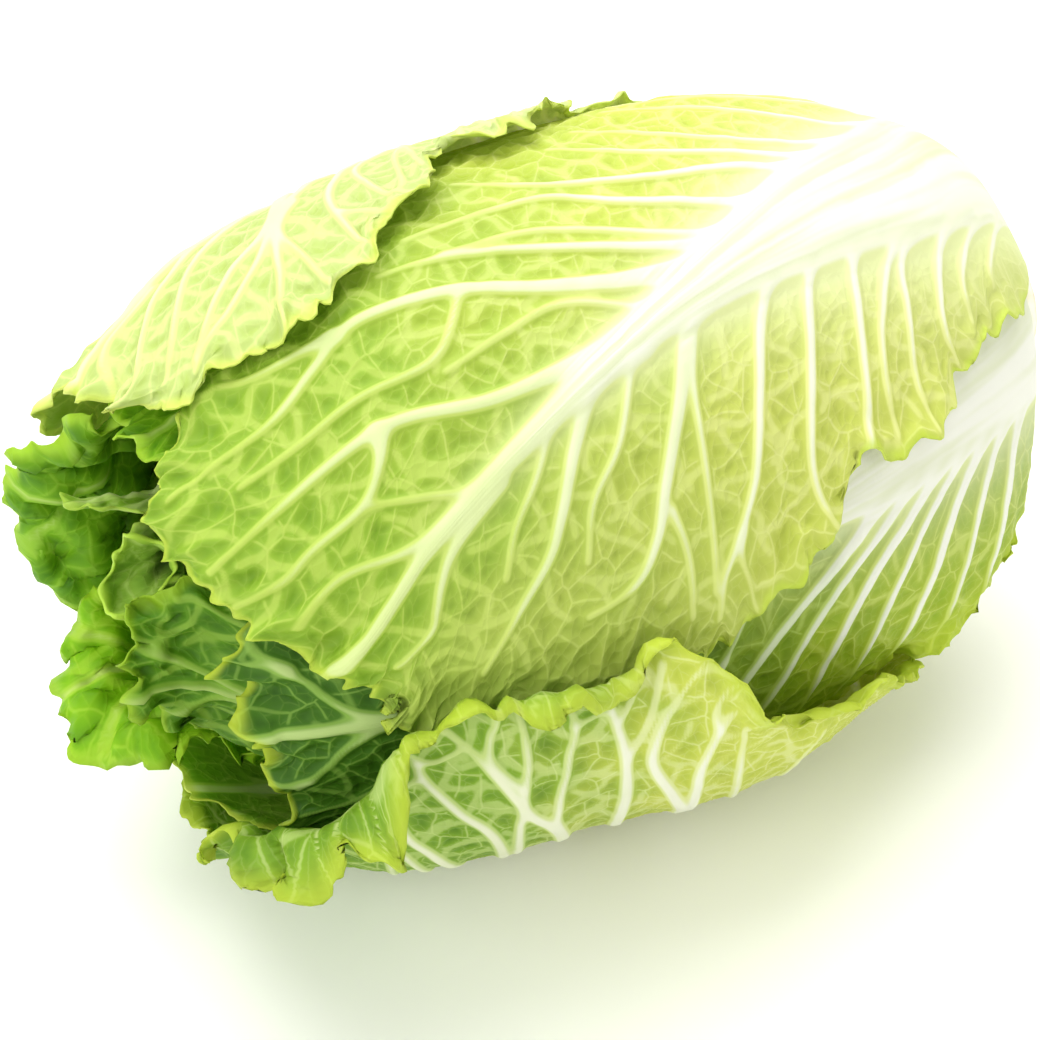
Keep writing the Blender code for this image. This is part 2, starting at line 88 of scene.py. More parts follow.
def add(tree, kind, *inputs, give=0, **settings):
    """Adds a node with its settings and links, and gives back one of its outputs.

    Inputs come in order, or by name in a dictionary. Each takes a value, a hex colour or a link.
    """
    kind, usual, order, give = node_kinds.get(kind, (kind, {}, range(9), give))
    added = tree.nodes.new(kind)
    for label, value in {**usual, **settings}.items():
        setattr(added, label, value)
    by_name = inputs and isinstance(inputs[0], dict)
    for socket, value in (inputs[0] if by_name else dict(zip(order, inputs))).items():
        if isinstance(value, bpy.types.NodeSocket):
            tree.links.new(value, added.inputs[socket])
        else:
            is_colour = isinstance(value, str) and value.startswith("#")
            added.inputs[socket].default_value = from_hex(value) if is_colour else value
    return added.outputs[give]


half_table = 3.0
table_mesh = bpy.data.meshes.new("table")
table_mesh.from_pydata(
    [(-half_table, -half_table, 0.0), (half_table, -half_table, 0.0), (half_table, half_table, 0.0),
     (-half_table, half_table, 0.0)], [], [(0, 1, 2, 3)])
table = put_in_scene("table", table_mesh)
table_paint = new_paint(
    "matt_white_table",
    {"Base Color": (0.985, 0.985, 0.935, 1.0), "Roughness": 0.9, "Specular IOR Level": 0.1})[0]
table_mesh.materials.append(table_paint)

white = (1.0, 1.0, 1.0, 1.0)
tent = bpy.data.worlds.new("white_tent")
bpy.context.scene.world = tent
tent.use_nodes = True
tent_tree = tent.node_tree
tent_light = tent_tree.nodes["Background"]
tent_light.inputs["Color"].default_value = white
tent_light.inputs["Strength"].default_value = 0.68
tent_seen = add(tent_tree, "ShaderNodeBackground", {"Color": white, "Strength": 1.1})
straight_to_eye = add(tent_tree, "ShaderNodeLightPath", give="Is Camera Ray")
tent_mix = add(tent_tree, "ShaderNodeMixShader", straight_to_eye, tent_light.outputs[0], tent_seen)
tent_tree.links.new(tent_mix, tent_tree.nodes["World Output"].inputs["Surface"])

look_at = Vector((0.0, 0.0, 0.0898))


def add_lamp(name, place, size, watts, colour):
    lamp_data = bpy.data.lights.new(name, "AREA")
    lamp_data.shape = "DISK"
    lamp_data.size = size
    lamp_data.energy = watts
    lamp_data.color = colour
    lamp = put_in_scene(name, lamp_data)
    lamp.location = place
    lamp.rotation_euler = (Vector(place) - look_at).to_track_quat("Z", "Y").to_euler()


add_lamp("high_back_lamp", (0.15, 0.58, 1.40), 2.0, 29.0, (1.0, 1.0, 0.98))
add_lamp("left_fill_lamp", (-1.3, -0.3, 0.9), 0.8, 9.0, (1.0, 1.0, 1.0))
add_lamp("front_fill_lamp", (0.75, -1.2, 0.75), 0.9, 3.5, (1.0, 1.0, 0.97))

eye_distance = 0.603
eye_azimuth = math.radians(-33.07)
eye_elevation = math.radians(38.0)
eye_back = Vector((math.sin(eye_azimuth) * math.cos(eye_elevation),
                   -math.cos(eye_azimuth) * math.cos(eye_elevation), math.sin(eye_elevation)))
eye_data = bpy.data.cameras.new("eye")
eye_data.lens = 80.0
eye_data.sensor_width = 36.0
eye_data.shift_x = -0.0563
eye_data.shift_y = -0.0726
eye_data.clip_start = 0.01
eye = put_in_scene("eye", eye_data)
eye.location = look_at + eye_back * eye_distance
eye.rotation_euler = eye_back.to_track_quat("Z", "Y").to_euler()
bpy.context.scene.camera = eye
bpy.context.scene.view_settings.view_transform = "Standard"

# ---- front leaf ----------------------------------------------------------------------------
# The largest leaf of the head, over its top and front: a broad, juicy white midrib with thick
# white side ribs, and a thin crinkled green blade that grew between them. Each leaf is a waved
# sheet wrapped on the round shell of the head, grown from the stem.
head_length = 0.270
head_radius = 0.0898
axis_height = head_radius - 0.0030
head_outline = ((0.0, 0.30), (0.04, 0.52), (0.10, 0.70), (0.20, 0.86), (0.35, 0.97), (0.50, 1.0),
                (0.65, 0.98), (0.80, 0.90), (0.90, 0.76), (0.96, 0.62), (1.0, 0.48), (1.1, 0.30))
midrib_width = ((0.0, 0.040), (0.07, 0.055), (0.30, 0.040), (0.53, 0.014), (0.74, 0.006), (0.90, 0.004))
blade_thickness = 0.0009
edge_thickness = 0.0005
stalk_share = 0.8       # of the midrib's width is stalk, and the rest slopes down to the blade


def smooth_step(low, high, value):
    share = np.clip((np.asarray(value, float) - low) / (high - low), 0.0, 1.0)
    return share * share * (3.0 - 2.0 * share)


def smooth_curve(knots, at):
    """A smooth curve through (place, value) knots that never overshoots them."""
    place, value = np.array(knots, float).T
    at = np.clip(at, place[0], place[-1])
    gap = np.diff(place)
    rise = np.diff(value) / gap
    slope = np.zeros(len(place))
    turn = rise[:-1] * rise[1:] > 0.0
    slope[1:-1][turn] = (2.0 * rise[:-1] * rise[1:])[turn] / (rise[:-1] + rise[1:])[turn]
    slope[0] = rise[0]
    slope[-1] = rise[-1]
    index = np.clip(np.searchsorted(place, at, side="right") - 1, 0, len(gap) - 1)
    width = gap[index]
    t = (at - place[index]) / width
    return (value[index] * (1.0 + 2.0 * t) * (1.0 - t) ** 2
            + value[index + 1] * t * t * (3.0 - 2.0 * t)
            + width * t * (1.0 - t) * (slope[index] * (1.0 - t) - slope[index + 1] * t))


def level(value):
    """The knots of a curve that stays at one value."""
    return (-1.0, value), (1.0, value)


def soft_noise(x, y, seed):
    """Smooth chance from -1 to 1, with one drawn value at each whole number of x and y."""
    drawn = np.random.default_rng(seed).uniform(-1.0, 1.0, (128, 128))
    i = np.floor(x).astype(int)
    j = np.floor(y).astype(int)
    a = x - i
    b = y - j
    a = a * a * (3.0 - 2.0 * a)
    b = b * b * (3.0 - 2.0 * b)
    near = drawn[i % 128, j % 128] * (1.0 - a) + drawn[(i + 1) % 128, j % 128] * a
    far = drawn[i % 128, (j + 1) % 128] * (1.0 - a) + drawn[(i + 1) % 128, (j + 1) % 128] * a
    return near * (1.0 - b) + far * b


def shell_radius(s):
    return head_radius * smooth_curve(head_outline, s)


def place_on_head(s, angle, radius, floor):
    """s: 0 at the stem, 1 at the tip. angle: 0 to the front, 90 up, 180 back, 270 down."""
    turn = np.radians(angle)
    height = np.maximum(axis_height + radius * np.sin(turn), floor)
    return np.stack([head_length * (0.5 - s), -radius * np.cos(turn), height], axis=-1)


def away_from_axis(points):
    """Unit normals of a grid of points, on the side away from the head's axis."""
    normal = np.cross(np.gradient(points, axis=0), np.gradient(points, axis=1))
    normal /= np.linalg.norm(normal, axis=-1, keepdims=True) + 1e-12
    from_axis = points - np.array((0.0, 0.0, axis_height))
    from_axis[..., 0] = 0.0
    if np.mean(np.sum(normal * from_axis, axis=-1)) < 0.0:
        normal = -normal
    return normal


def through(points, steps):
    """Places along a smooth curve that passes through a few given points."""
    p = np.array(points, float)
    p = np.vstack([2.0 * p[0] - p[1], p, 2.0 * p[-1] - p[-2]])
    t = np.linspace(0.0, 1.0, steps, endpoint=False)[:, None]
    runs = []
    for a, b, c, d in zip(p, p[1:], p[2:], p[3:]):
        runs.append(0.5 * (2.0 * b + (c - a) * t + (2.0 * a - 5.0 * b + 4.0 * c - d) * t ** 2
                           + (3.0 * b - 3.0 * c + d - a) * t ** 3))
    runs.append(p[-2][None, :])
    return np.vstack(runs)


def grow_leaf(rows, columns, shape, sunk, rib_width, rib_out, rib_in, ruffle,
              waves, phase, sweep=0.5, tip_radius=None, lift=None, rolls=(), tip_curl=None,
              frill=0.0016, teeth=0.0014, scallop=0.0012, scallop_length=0.013, crumple=0.0, seen_side=0,
              blade_from=(0.10, 0.30), seed=1):
    """The sheet of one leaf as grids: its place, its two faces and where each point lies on it.

    shape is where the leaf starts, then its midrib, its low and high edges and how far it reaches.
    seen_side is -1 or 1 where the leaf's columns crowd towards the edge that shows.
    """
    start, midrib, low_edge, high_edge, reach = shape
    tip_swing = 0.008       # how far the wave moves the tip, as a share of the head's length
    edge_swing = 2.2        # and the side edges, in degrees
    even = np.linspace(-1.0, 1.0, columns)
    crowded = seen_side * (1.0 - 2.0 * ((1.0 - seen_side * even) / 2.0) ** 1.25) if seen_side else even
    u, v = np.meshgrid(np.linspace(0.0, 1.0, rows), crowded, indexing="ij")

    def depth_and_radius(s, v):
        depth = smooth_curve(sunk, v)
        radius = shell_radius(s) - depth
        if tip_radius is not None:
            pull = smooth_step(0.84, 1.0, s)
            radius = radius * (1.0 - pull) + smooth_curve(tip_radius, v) * pull
        if lift is not None:
            radius = radius + lift(s, v)
        return depth, radius

    def on_sheet(s, angle):
        """The place of a spot of the leaf before its margin is shaped."""
        middle = smooth_curve(midrib, s)
        off = angle - middle
        width = np.where(off < 0.0, middle - smooth_curve(low_edge, s), smooth_curve(high_edge, s) - middle)
        depth, radius = depth_and_radius(s, np.clip(off / width, -1.0, 1.0))
        return place_on_head(s, angle, radius, depth)

    rim = 1.0 - (1.0 - np.abs(v) ** 5) * (1.0 - u ** 10)
    blade = smooth_step(*blade_from, u)
    turn = 2.0 * math.pi * waves
    wave = (0.65 * np.sin(turn * (u + 0.4 * v) + phase)
            + 0.35 * np.sin(turn * (1.6 * u - 0.7 * v) + 2.0 * phase))
    swept = u + sweep * np.abs(v) * u * (1.0 - u)
    length = smooth_curve(reach, v) - start
    s = start + length * swept + tip_swing * u ** 6 * (1.0 - 0.7 * np.abs(v) ** 3) * wave
    middle = smooth_curve(midrib, s)
    edge = np.where(v < 0.0, middle - smooth_curve(low_edge, s), smooth_curve(high_edge, s) - middle)
    angle = middle + v * edge + edge_swing * v ** 5 * blade * smooth_step(1.0, 0.85, u) * wave
    depth, radius = depth_and_radius(s, v)
    plain = place_on_head(s, angle, radius, depth)
    along = head_length * s
    across = np.radians(angle - middle) * radius
    half_rib = 0.5 * smooth_curve(rib_width, s)
    away = np.abs(across)

    # the margin: scallops and small teeth in its line, a close frill out of its plane, and rolls
    tooth_band = 0.007
    scallop_band = 0.012
    side_gap = (1.0 - np.abs(v)) * np.radians(edge) * radius
    tip_gap = (1.0 - u) * length * head_length
    margin = np.minimum(side_gap, tip_gap)

    def chance_at(big, small, seed):
        """Smooth chance over the leaf, in lumps of a big and a small size together."""
        return (0.6 * soft_noise(along / big, across / big, seed)
                + 0.4 * soft_noise(along / small, across / small, seed + 50))

    lobes = chance_at(0.0070, 0.0032, seed)

    def margin_shift(gap, place, row):
        scallops = (0.65 * soft_noise(place / scallop_length, row, seed + 200)
                    + 0.35 * soft_noise(2.6 * place / scallop_length, row, seed + 210))
        return (teeth * lobes * np.exp(-(gap / tooth_band) ** 2)
                + scallop * scallops * np.exp(-(gap / scallop_band) ** 2))

    side_shift = margin_shift(side_gap, along, 3.0 + 2.0 * np.sign(v))
    angle = angle + np.sign(v) * np.degrees(side_shift / radius) * blade
    s = s + margin_shift(tip_gap, across, np.full(v.shape, 9.0)) / head_length
    corner = 1.0 - 0.5 * np.abs(v) ** 4 * u ** 8
    radius = radius + ruffle(s, v) * rim ** 2 * blade * corner * (0.55 + 0.45 * wave)
    crimp = chance_at(0.0075, 0.0036, seed + 100)
    radius = radius + frill * crimp * blade * (np.exp(-(margin / 0.008) ** 2) + 0.10)
    folds = (0.6 - 1.3 * np.abs(soft_noise(along / 0.014, across / 0.014, seed + 300))
             + 0.4 - 0.9 * np.abs(soft_noise(along / 0.0065, across / 0.0065, seed + 350)))
    radius = radius + crumple * folds * smooth_step(0.78, 0.93, s)
    for side, size, degrees_round, low, high in rolls:
        lumpy = 0.9 + 0.25 * soft_noise(along / 0.010, 5.0 + 0.0 * along, seed + 400)
        over = np.clip(size * math.radians(degrees_round) * lumpy - side_gap, 0.0, None)
        over = over * (np.sign(v) == side)
        over = over * smooth_step(low, low + 0.05, s) * smooth_step(high, high - 0.05, s)
        angle = angle + side * np.degrees((size * np.sin(over / size) - over) / radius)
        radius = radius + size * (1.0 - np.cos(over / size))
    if tip_curl is not None:
        size, degrees_round, low, high = tip_curl
        lumpy = 0.95 + 0.20 * soft_noise(across / 0.012, 5.0 + 0.0 * across, seed + 450)
        over = np.clip(size * math.radians(degrees_round) * lumpy - tip_gap, 0.0, None)
        over = over * smooth_step(low, low + 0.3, v) * smooth_step(high, high - 0.3, v)
        s = s + (size * np.sin(over / size) - over) / head_length
        radius = radius + size * (1.0 - np.cos(over / size))
    base = place_on_head(s, angle, radius, depth)
    normal = away_from_axis(base)

    bulge = np.clip(1.0 - (away / half_rib) ** 2, 0.0, 1.0) * smooth_step(0.0, 0.08, u)
    outward = smooth_curve(rib_out, s) * bulge
    thick = blade_thickness - (blade_thickness - edge_thickness) * np.exp(-margin / 0.004)
    inward = thick + smooth_curve(rib_in, s) * bulge
    outer = base + normal * outward[..., None]
    outer[..., 2] = np.maximum(outer[..., 2], depth)
    inner = base - normal * inward[..., None]
    return dict(s=s, angle=angle, plain=plain, outer=outer, inner=inner, normal=normal, along=along,
                across=across, half_rib=half_rib, stalk=stalk_share * half_rib, margin=margin, blade=blade,
                on_sheet=on_sheet, seed=seed)


def one_rib(root, end, *course):
    """A rib: its widths at the root and the end in mm, then its course from the root to the end, as
    hundredths of the head's length and degrees round its axis in turn."""
    return [(course[k] / 100.0, course[k + 1]) for k in range(0, len(course), 2)], root, end


def rib_line(leaf, points, steps=8):
    """A rib's centre line on its own leaf, from its given (s, angle) points."""
    line = through(points, steps)
    return line[:, 0], line[:, 1], leaf["on_sheet"](line[:, 0], line[:, 1])


def distance_to_line(points, line, widths):
    """How far inside a tapering rib each point lies; below zero it is outside."""
    best = np.full(len(points), -1.0)
    for a, b, wide_a, wide_b in zip(line, line[1:], widths, widths[1:]):
        run = b - a
        t = np.clip((points - a) @ run / max(run @ run, 1e-12), 0.0, 1.0)
        gap = np.linalg.norm(points - a - t[:, None] * run, axis=1)
        best = np.maximum(best, wide_a + (wide_b - wide_a) * t - gap)
    return best


def join_softly(a, b, fillet):
    """The larger of two heights, with a fillet where they meet."""
    close = np.maximum(fillet - np.abs(a - b), 0.0) / fillet
    return np.maximum(a, b) + 0.25 * fillet * close * close


def evened(field):
    """The field averaged with its neighbours on the sheet, so that thin slanting lines hold together."""
    wide = np.pad(field, 1, mode="edge")
    along = 0.25 * wide[:-2] + 0.5 * wide[1:-1] + 0.25 * wide[2:]
    return 0.25 * along[:, :-2] + 0.5 * along[:, 1:-1] + 0.25 * along[:, 2:]


def draw_ribs(leaf, ribs, cross_seed, cross_gap=0.0120, fillet=0.0020, thinnest=0.0004):
    """Adds the ribs to the leaf as "vein": metres inside the nearest rib's edge, or minus outside.

    A rib flares where it leaves the stalk. Cross veins, kept apart as "twig", leave it at a slant on
    both sides in turn and reach the next rib. No line has a half-width under thinnest, which the
    leaf's mesh has to carry. The stalk's own edge is soft near the stem and firmer towards the tip.
    """
    far_off = -0.012        # no point is counted as further outside a rib than this
    made_up = 0.00022       # what the evening takes off the crest of a thin line
    look_ahead = 0.002
    free_length = 0.012     # of a cross vein that meets no rib
    longest = 0.020
    vein = (leaf["stalk"] - np.abs(leaf["across"])) * (0.30 + 0.70 * smooth_step(0.15, 0.60, leaf["s"]))
    chance = np.random.default_rng(cross_seed)
    lines = [rib_line(leaf, points) for points, root, end in ribs]
    spots = np.concatenate([np.stack([s, angle], 1) for s, angle, line in lines])
    owner = np.concatenate([np.full(len(s), k) for k, (s, angle, line) in enumerate(lines)])
    twig = np.full(leaf["s"].shape, far_off)
    drawn = []
    for k, ((points, root, end), (s, angle, line)) in enumerate(zip(ribs, lines)):
        t = np.linspace(0.0, 1.0, len(line))
        flare = root * np.clip(1.0 - t / 0.30, 0.0, 1.0) ** 2 * (root > 2.0)
        taper = np.clip((1.0 - t) / 0.18, 0.3, 1.0)
        wide = np.maximum(0.0005 * (end + (root - end) * (1.0 - t) + flare) * taper, thinnest)
        drawn.append((vein, s, angle, line, wide, fillet, -far_off))
        length = np.concatenate([[0.0], np.cumsum(np.linalg.norm(np.diff(line, axis=0), axis=1))])
        place = 0.006 + 0.008 * chance.random() if cross_gap else length[-1]
        side = 1.0
        while place < length[-1] - look_ahead:
            here = np.array([np.interp(place, length, s), np.interp(place, length, angle)])
            ahead = np.array([np.interp(place + look_ahead, length, s),
                              np.interp(place + look_ahead, length, angle)])
            # metres on the sheet for one unit of s and for one degree
            turned = leaf["on_sheet"](here[:1], here[1:] + 1.0) - leaf["on_sheet"](here[:1], here[1:])
            scale = np.array([head_length, float(np.linalg.norm(turned))])
            run = (ahead - here) * scale
            run /= np.linalg.norm(run) + 1e-12
            slant = math.radians(38.0 + 30.0 * chance.random())
            step = side * math.sin(slant) * np.array([-run[1], run[0]]) + math.cos(slant) * run
            beside = np.array([-step[1], step[0]])
            # it ends at the next rib that lies in its way
            off = (spots - here) * scale
            forward = off @ step
            met = (owner != k) & (forward > 0.002) & (np.abs(off @ beside) < 0.3 * forward + 0.001)
            gap = min(forward[met].min() if met.any() else free_length, longest)
            far = gap * (0.85 + 0.20 * chance.random())
            kink = 0.16 * far * (2.0 * chance.random(2) - 1.0)
            cross = [here, here + (0.35 * far * step + kink[0] * beside) / scale,
                     here + (0.70 * far * step + kink[1] * beside) / scale, here + far * step / scale]
            widths = thinnest * np.linspace(1.25, 1.0, 13)
            drawn.append((twig,) + rib_line(leaf, cross, 4) + (widths, 0.0009, 0.006))
            place += cross_gap * (0.40 + 0.40 * chance.random())
            side = -side
    for field, s, angle, line, widths, soft, room in drawn:
        turn_room = math.degrees(room / max(float(np.min(shell_radius(s))), 0.03))
        near = ((leaf["s"] > s.min() - room / head_length) & (leaf["s"] < s.max() + room / head_length)
                & (leaf["angle"] > angle.min() - turn_room) & (leaf["angle"] < angle.max() + turn_room))
        if near.any():
            inside = distance_to_line(leaf["plain"][near], line, widths)
            field[near] = join_softly(field[near], inside, soft)
    leaf["vein"] = evened(np.maximum(vein, far_off)) + made_up
    leaf["twig"] = evened(np.maximum(twig, far_off)) + made_up


def side_ribs(shape, count, seed, sides=(-1, 1), root=3.4, end=0.9, from_share=0.0, to_share=1.0):
    """Ribs by the rule a leaf grows by: they leave the midrib one by one, sweep towards the tip
    and fork before the margin. The shares say between which parts of the midrib they grow."""
    start, midrib, low_edge, high_edge, reach = shape
    chance = np.random.default_rng(seed)
    last = float(smooth_curve(reach, 0.0))
    ribs = []
    for side in sides:
        for k in range(count):
            share = from_share + (to_share - from_share) * (k + 0.35 + 0.3 * chance.random()) / count
            root_s = start + 0.04 + (last - start - 0.10) * share ** 1.05
            advance = (0.16 + 0.05 * chance.random()) * (1.0 - 0.45 * share)

            def on_leaf(t, more=0.0, wider=0.0):
                s = root_s + advance * t ** 0.8 + more
                middle = float(smooth_curve(midrib, s))
                edge = low_edge if side < 0 else high_edge
                return (s, middle + (0.96 * t ** 1.5 + wider) * (float(smooth_curve(edge, s)) - middle))

            points = [on_leaf(t) for t in (0.0, 0.25, 0.5, 0.75, 1.0)]
            ribs.append((points, root * (1.0 - 0.5 * share), end))
            fork = 0.45 + 0.2 * chance.random()
            more = 0.030 + 0.012 * chance.random()
            ribs.append(([on_leaf(fork), on_leaf(0.5 + 0.5 * fork, 0.55 * more), on_leaf(0.98, more)],
                         1.3, 0.7))
    return ribs


def leaf_mesh(name, leaf, whiteness):
    """The closed two-faced mesh of a leaf, with what the relief and the colour need stored on it.

    The inner face keeps every second row and column of the outer one.
    """
    rows, columns = leaf["s"].shape
    outer_count = rows * columns
    first = np.arange(outer_count).reshape(rows, columns)
    second = np.arange(((rows + 1) // 2) * ((columns + 1) // 2)).reshape((rows + 1) // 2, -1) + outer_count

    def squares(grid):
        return np.stack([grid[:-1, :-1].ravel(), grid[:-1, 1:].ravel(), grid[1:, 1:].ravel(),
                         grid[1:, :-1].ravel()], 1)

    def around(grid):
        return np.concatenate([grid[0, :], grid[1:, -1], grid[-1, -2::-1], grid[-2:0:-1, 0]])

    ring = around(first)
    corner, half, ahead = ring[0::2], ring[1::2], np.roll(ring[0::2], -1)
    below = around(second)
    below_ahead = np.roll(below, -1)
    quads = np.concatenate([squares(first), squares(second)[:, ::-1]])
    edges = np.concatenate([np.stack([corner, below, half], 1), np.stack([half, below, below_ahead], 1),
                            np.stack([half, below_ahead, ahead], 1)])
    # the outer face has to look away from the axis
    p = leaf["outer"].reshape(-1, 3)
    a, b, c, d = squares(first).T
    look = np.cross(p[b] - p[a], p[d] - p[a])
    if np.sum(look * leaf["normal"].reshape(-1, 3)[a]) < 0.0:
        quads = quads[:, ::-1]
        edges = edges[:, ::-1]
    points = np.concatenate([p, leaf["inner"][::2, ::2].reshape(-1, 3)])
    mesh = bpy.data.meshes.new(name)
    mesh.from_pydata(points.tolist(), [], quads.tolist() + edges.tolist())

    pale_reach = 0.004 + 0.010 * (1.0 - smooth_step(0.10, 0.65, leaf["s"]))
    near_rib = np.exp(-np.maximum(np.abs(leaf["across"]) - leaf["half_rib"], 0.0) / pale_reach)
    pale = near_rib * (1.0 - smooth_step(0.45, 0.85, leaf["s"]))
    pale = np.maximum(pale, 0.55 * (1.0 - smooth_step(0.02, 0.16, leaf["s"]))) * whiteness
    sheet = np.stack([1000.0 * leaf["along"], 1000.0 * leaf["across"],
                      np.full(leaf["s"].shape, 40.0 * leaf["seed"])], -1)

    def on_both_faces(values, width):
        return np.concatenate([values.reshape(-1, width),
                               values[::2, ::2].reshape(-1, width)]).astype(np.float32).ravel()

    kept = {
        "vein": 1000.0 * leaf["vein"], "twig": 1000.0 * leaf["twig"], "margin": 1000.0 * leaf["margin"],
        "pale": pale, "ridge": np.clip(leaf["across"] / leaf["half_rib"], -2.0, 2.0), "blade": leaf["blade"]}
    for label, values in kept.items():
        layer = mesh.attributes.new(label, "FLOAT", "POINT")
        layer.data.foreach_set("value", on_both_faces(values, 1))
    for label, values in (("sheet", sheet), ("outwards", leaf["normal"])):
        layer = mesh.attributes.new(label, "FLOAT_VECTOR", "POINT")
        layer.data.foreach_set("vector", on_both_faces(values, 3))
    mesh.update()
    return put_in_scene(name, mesh)


def vein_net(tree, sheet, cell, warp):
    """Millimetres to the nearest vein of a net of uneven cells, on the leaf's own sheet."""
    drift = add(tree, "ShaderNodeTexNoise", {"Vector": sheet, "Scale": 0.7 / cell, "Detail": 1.0},
                give="Color")
    centred = add(tree, "ShaderNodeVectorMath", drift, (0.5, 0.5, 0.5), operation="SUBTRACT")
    scaled = add(tree, "ShaderNodeVectorMath", centred, (warp, warp, 0.0), operation="MULTIPLY")
    moved = add(tree, "ShaderNodeVectorMath", sheet, scaled, operation="ADD")
    distance = add(tree, "ShaderNodeTexVoronoi", {"Vector": moved, "Scale": 1.0 / cell, "Randomness": 0.9},
                   give="Distance", voronoi_dimensions="2D", feature="DISTANCE_TO_EDGE")
    return add(tree, "times", distance, cell)


wide_net = (8.5, 5.0)       # the coarse net of veins: mm across a cell, and how far its cells drift
fine_net = (3.2, 2.0)       # the fine net inside it


def hollow(tree, distance, width):
    """Nothing on a vein, sharply at first and then gently nearer to 1 away from it."""
    share = add(tree, "ShaderNodeMath", add(tree, "times", distance, -1.0 / width), operation="EXPONENT")
    return add(tree, "minus", 1.0, share)


def relief_tree():
    """Raises the ribs out of the blade and hollows the blade between the veins of both nets."""
    tree = bpy.data.node_groups.new("leaf relief", "GeometryNodeTree")
    face = tree.interface
    face.new_socket("Geometry", in_out="INPUT", socket_type="NodeSocketGeometry")
    for label, value in (("Rib Height", 1.0), ("Hollow Depth", 0.95), ("Fine Depth", 0.22)):
        socket = face.new_socket(label, in_out="INPUT", socket_type="NodeSocketFloat")
        socket.default_value = value
    face.new_socket("Material", in_out="INPUT", socket_type="NodeSocketMaterial")
    face.new_socket("Geometry", in_out="OUTPUT", socket_type="NodeSocketGeometry")
    entry = tree.nodes.new("NodeGroupInput").outputs
    vein, twig, pale, blade = [
        add(tree, "GeometryNodeInputNamedAttribute", {"Name": label}, give="Attribute", data_type="FLOAT")
        for label in ("vein", "twig", "pale", "blade")]
    sheet, outwards = [
        add(tree, "GeometryNodeInputNamedAttribute", {"Name": label}, give="Attribute",
            data_type="FLOAT_VECTOR")
        for label in ("sheet", "outwards")]
    wide = vein_net(tree, sheet, *wide_net)
    fine = vein_net(tree, sheet, *fine_net)
    ribs = add(tree, "times", add(tree, "fade", vein, -0.8, 1.3), entry["Rib Height"])
    outside = add(tree, "most", add(tree, "times", vein, -0.6), 0.0)
    off_twig = add(tree, "fade", twig, 0.0, -4.0, 0.0, 4.0)
    off_coarse = add(tree, "least", outside, add(tree, "least", wide, off_twig))
    near_net = add(tree, "fade", off_coarse, 0.0, 3.2)
    between_ribs = add(tree, "fade", vein, -1.0, -11.0, 0.0, 0.8)
    hollows = add(tree, "times", add(tree, "plus", near_net, between_ribs), entry["Hollow Depth"])
    off_fine = add(tree, "fade", add(tree, "least", outside, fine), 0.1, 1.3)
    small = add(tree, "times", off_fine, entry["Fine Depth"])
    away_from_stalk = add(tree, "minus", 1.0, add(tree, "times", pale, 0.8))
    sunken = add(tree, "times", add(tree, "plus", hollows, small), away_from_stalk)
    rise = add(tree, "minus", ribs, sunken)
    millimetre = 0.001
    metres = add(tree, "times", add(tree, "times", rise, blade), millimetre)
    shift = add(tree, "ShaderNodeVectorMath", {0: outwards, "Scale": metres}, operation="SCALE")
    moved = add(tree, "GeometryNodeSetPosition", {"Geometry": entry["Geometry"], "Offset": shift})
    whole = add(tree, "GeometryNodeRealizeInstances", {"Geometry": moved})
    named = add(tree, "GeometryNodeSetMaterial", {"Geometry": whole, "Material": entry["Material"]})
    tree.links.new(named, tree.nodes.new("NodeGroupOutput").inputs["Geometry"])
    return tree


leaf_relief = relief_tree()


def raise_relief(leaf_object, material, heights):
    """Runs the relief on a leaf and leaves it as a plain mesh."""
    within = 0.0001
    modifier = leaf_object.modifiers.new("relief", "NODES")
    modifier.node_group = leaf_relief
    for item in leaf_relief.interface.items_tree:
        if item.in_out == "INPUT" and item.name in dict(heights):
            modifier[item.identifier] = dict(heights)[item.name]
        if item.in_out == "INPUT" and item.name == "Material":
            modifier[item.identifier] = material
    graph = bpy.context.evaluated_depsgraph_get()
    raised = bpy.data.meshes.new_from_object(leaf_object.evaluated_get(graph))
    leaf_object.modifiers.clear()
    leaf_object.data = raised
    # the relief must not reach below the table or past the head's overall size
    places = np.empty(3 * len(raised.vertices), np.float32)
    raised.vertices.foreach_get("co", places)
    places = np.clip(places.reshape(-1, 3), np.array(cad_box[0]) + within, np.array(cad_box[1]) - within)
    raised.vertices.foreach_set("co", places.astype(np.float32).ravel())
    raised.update()
    raised.shade_smooth()
    return leaf_object


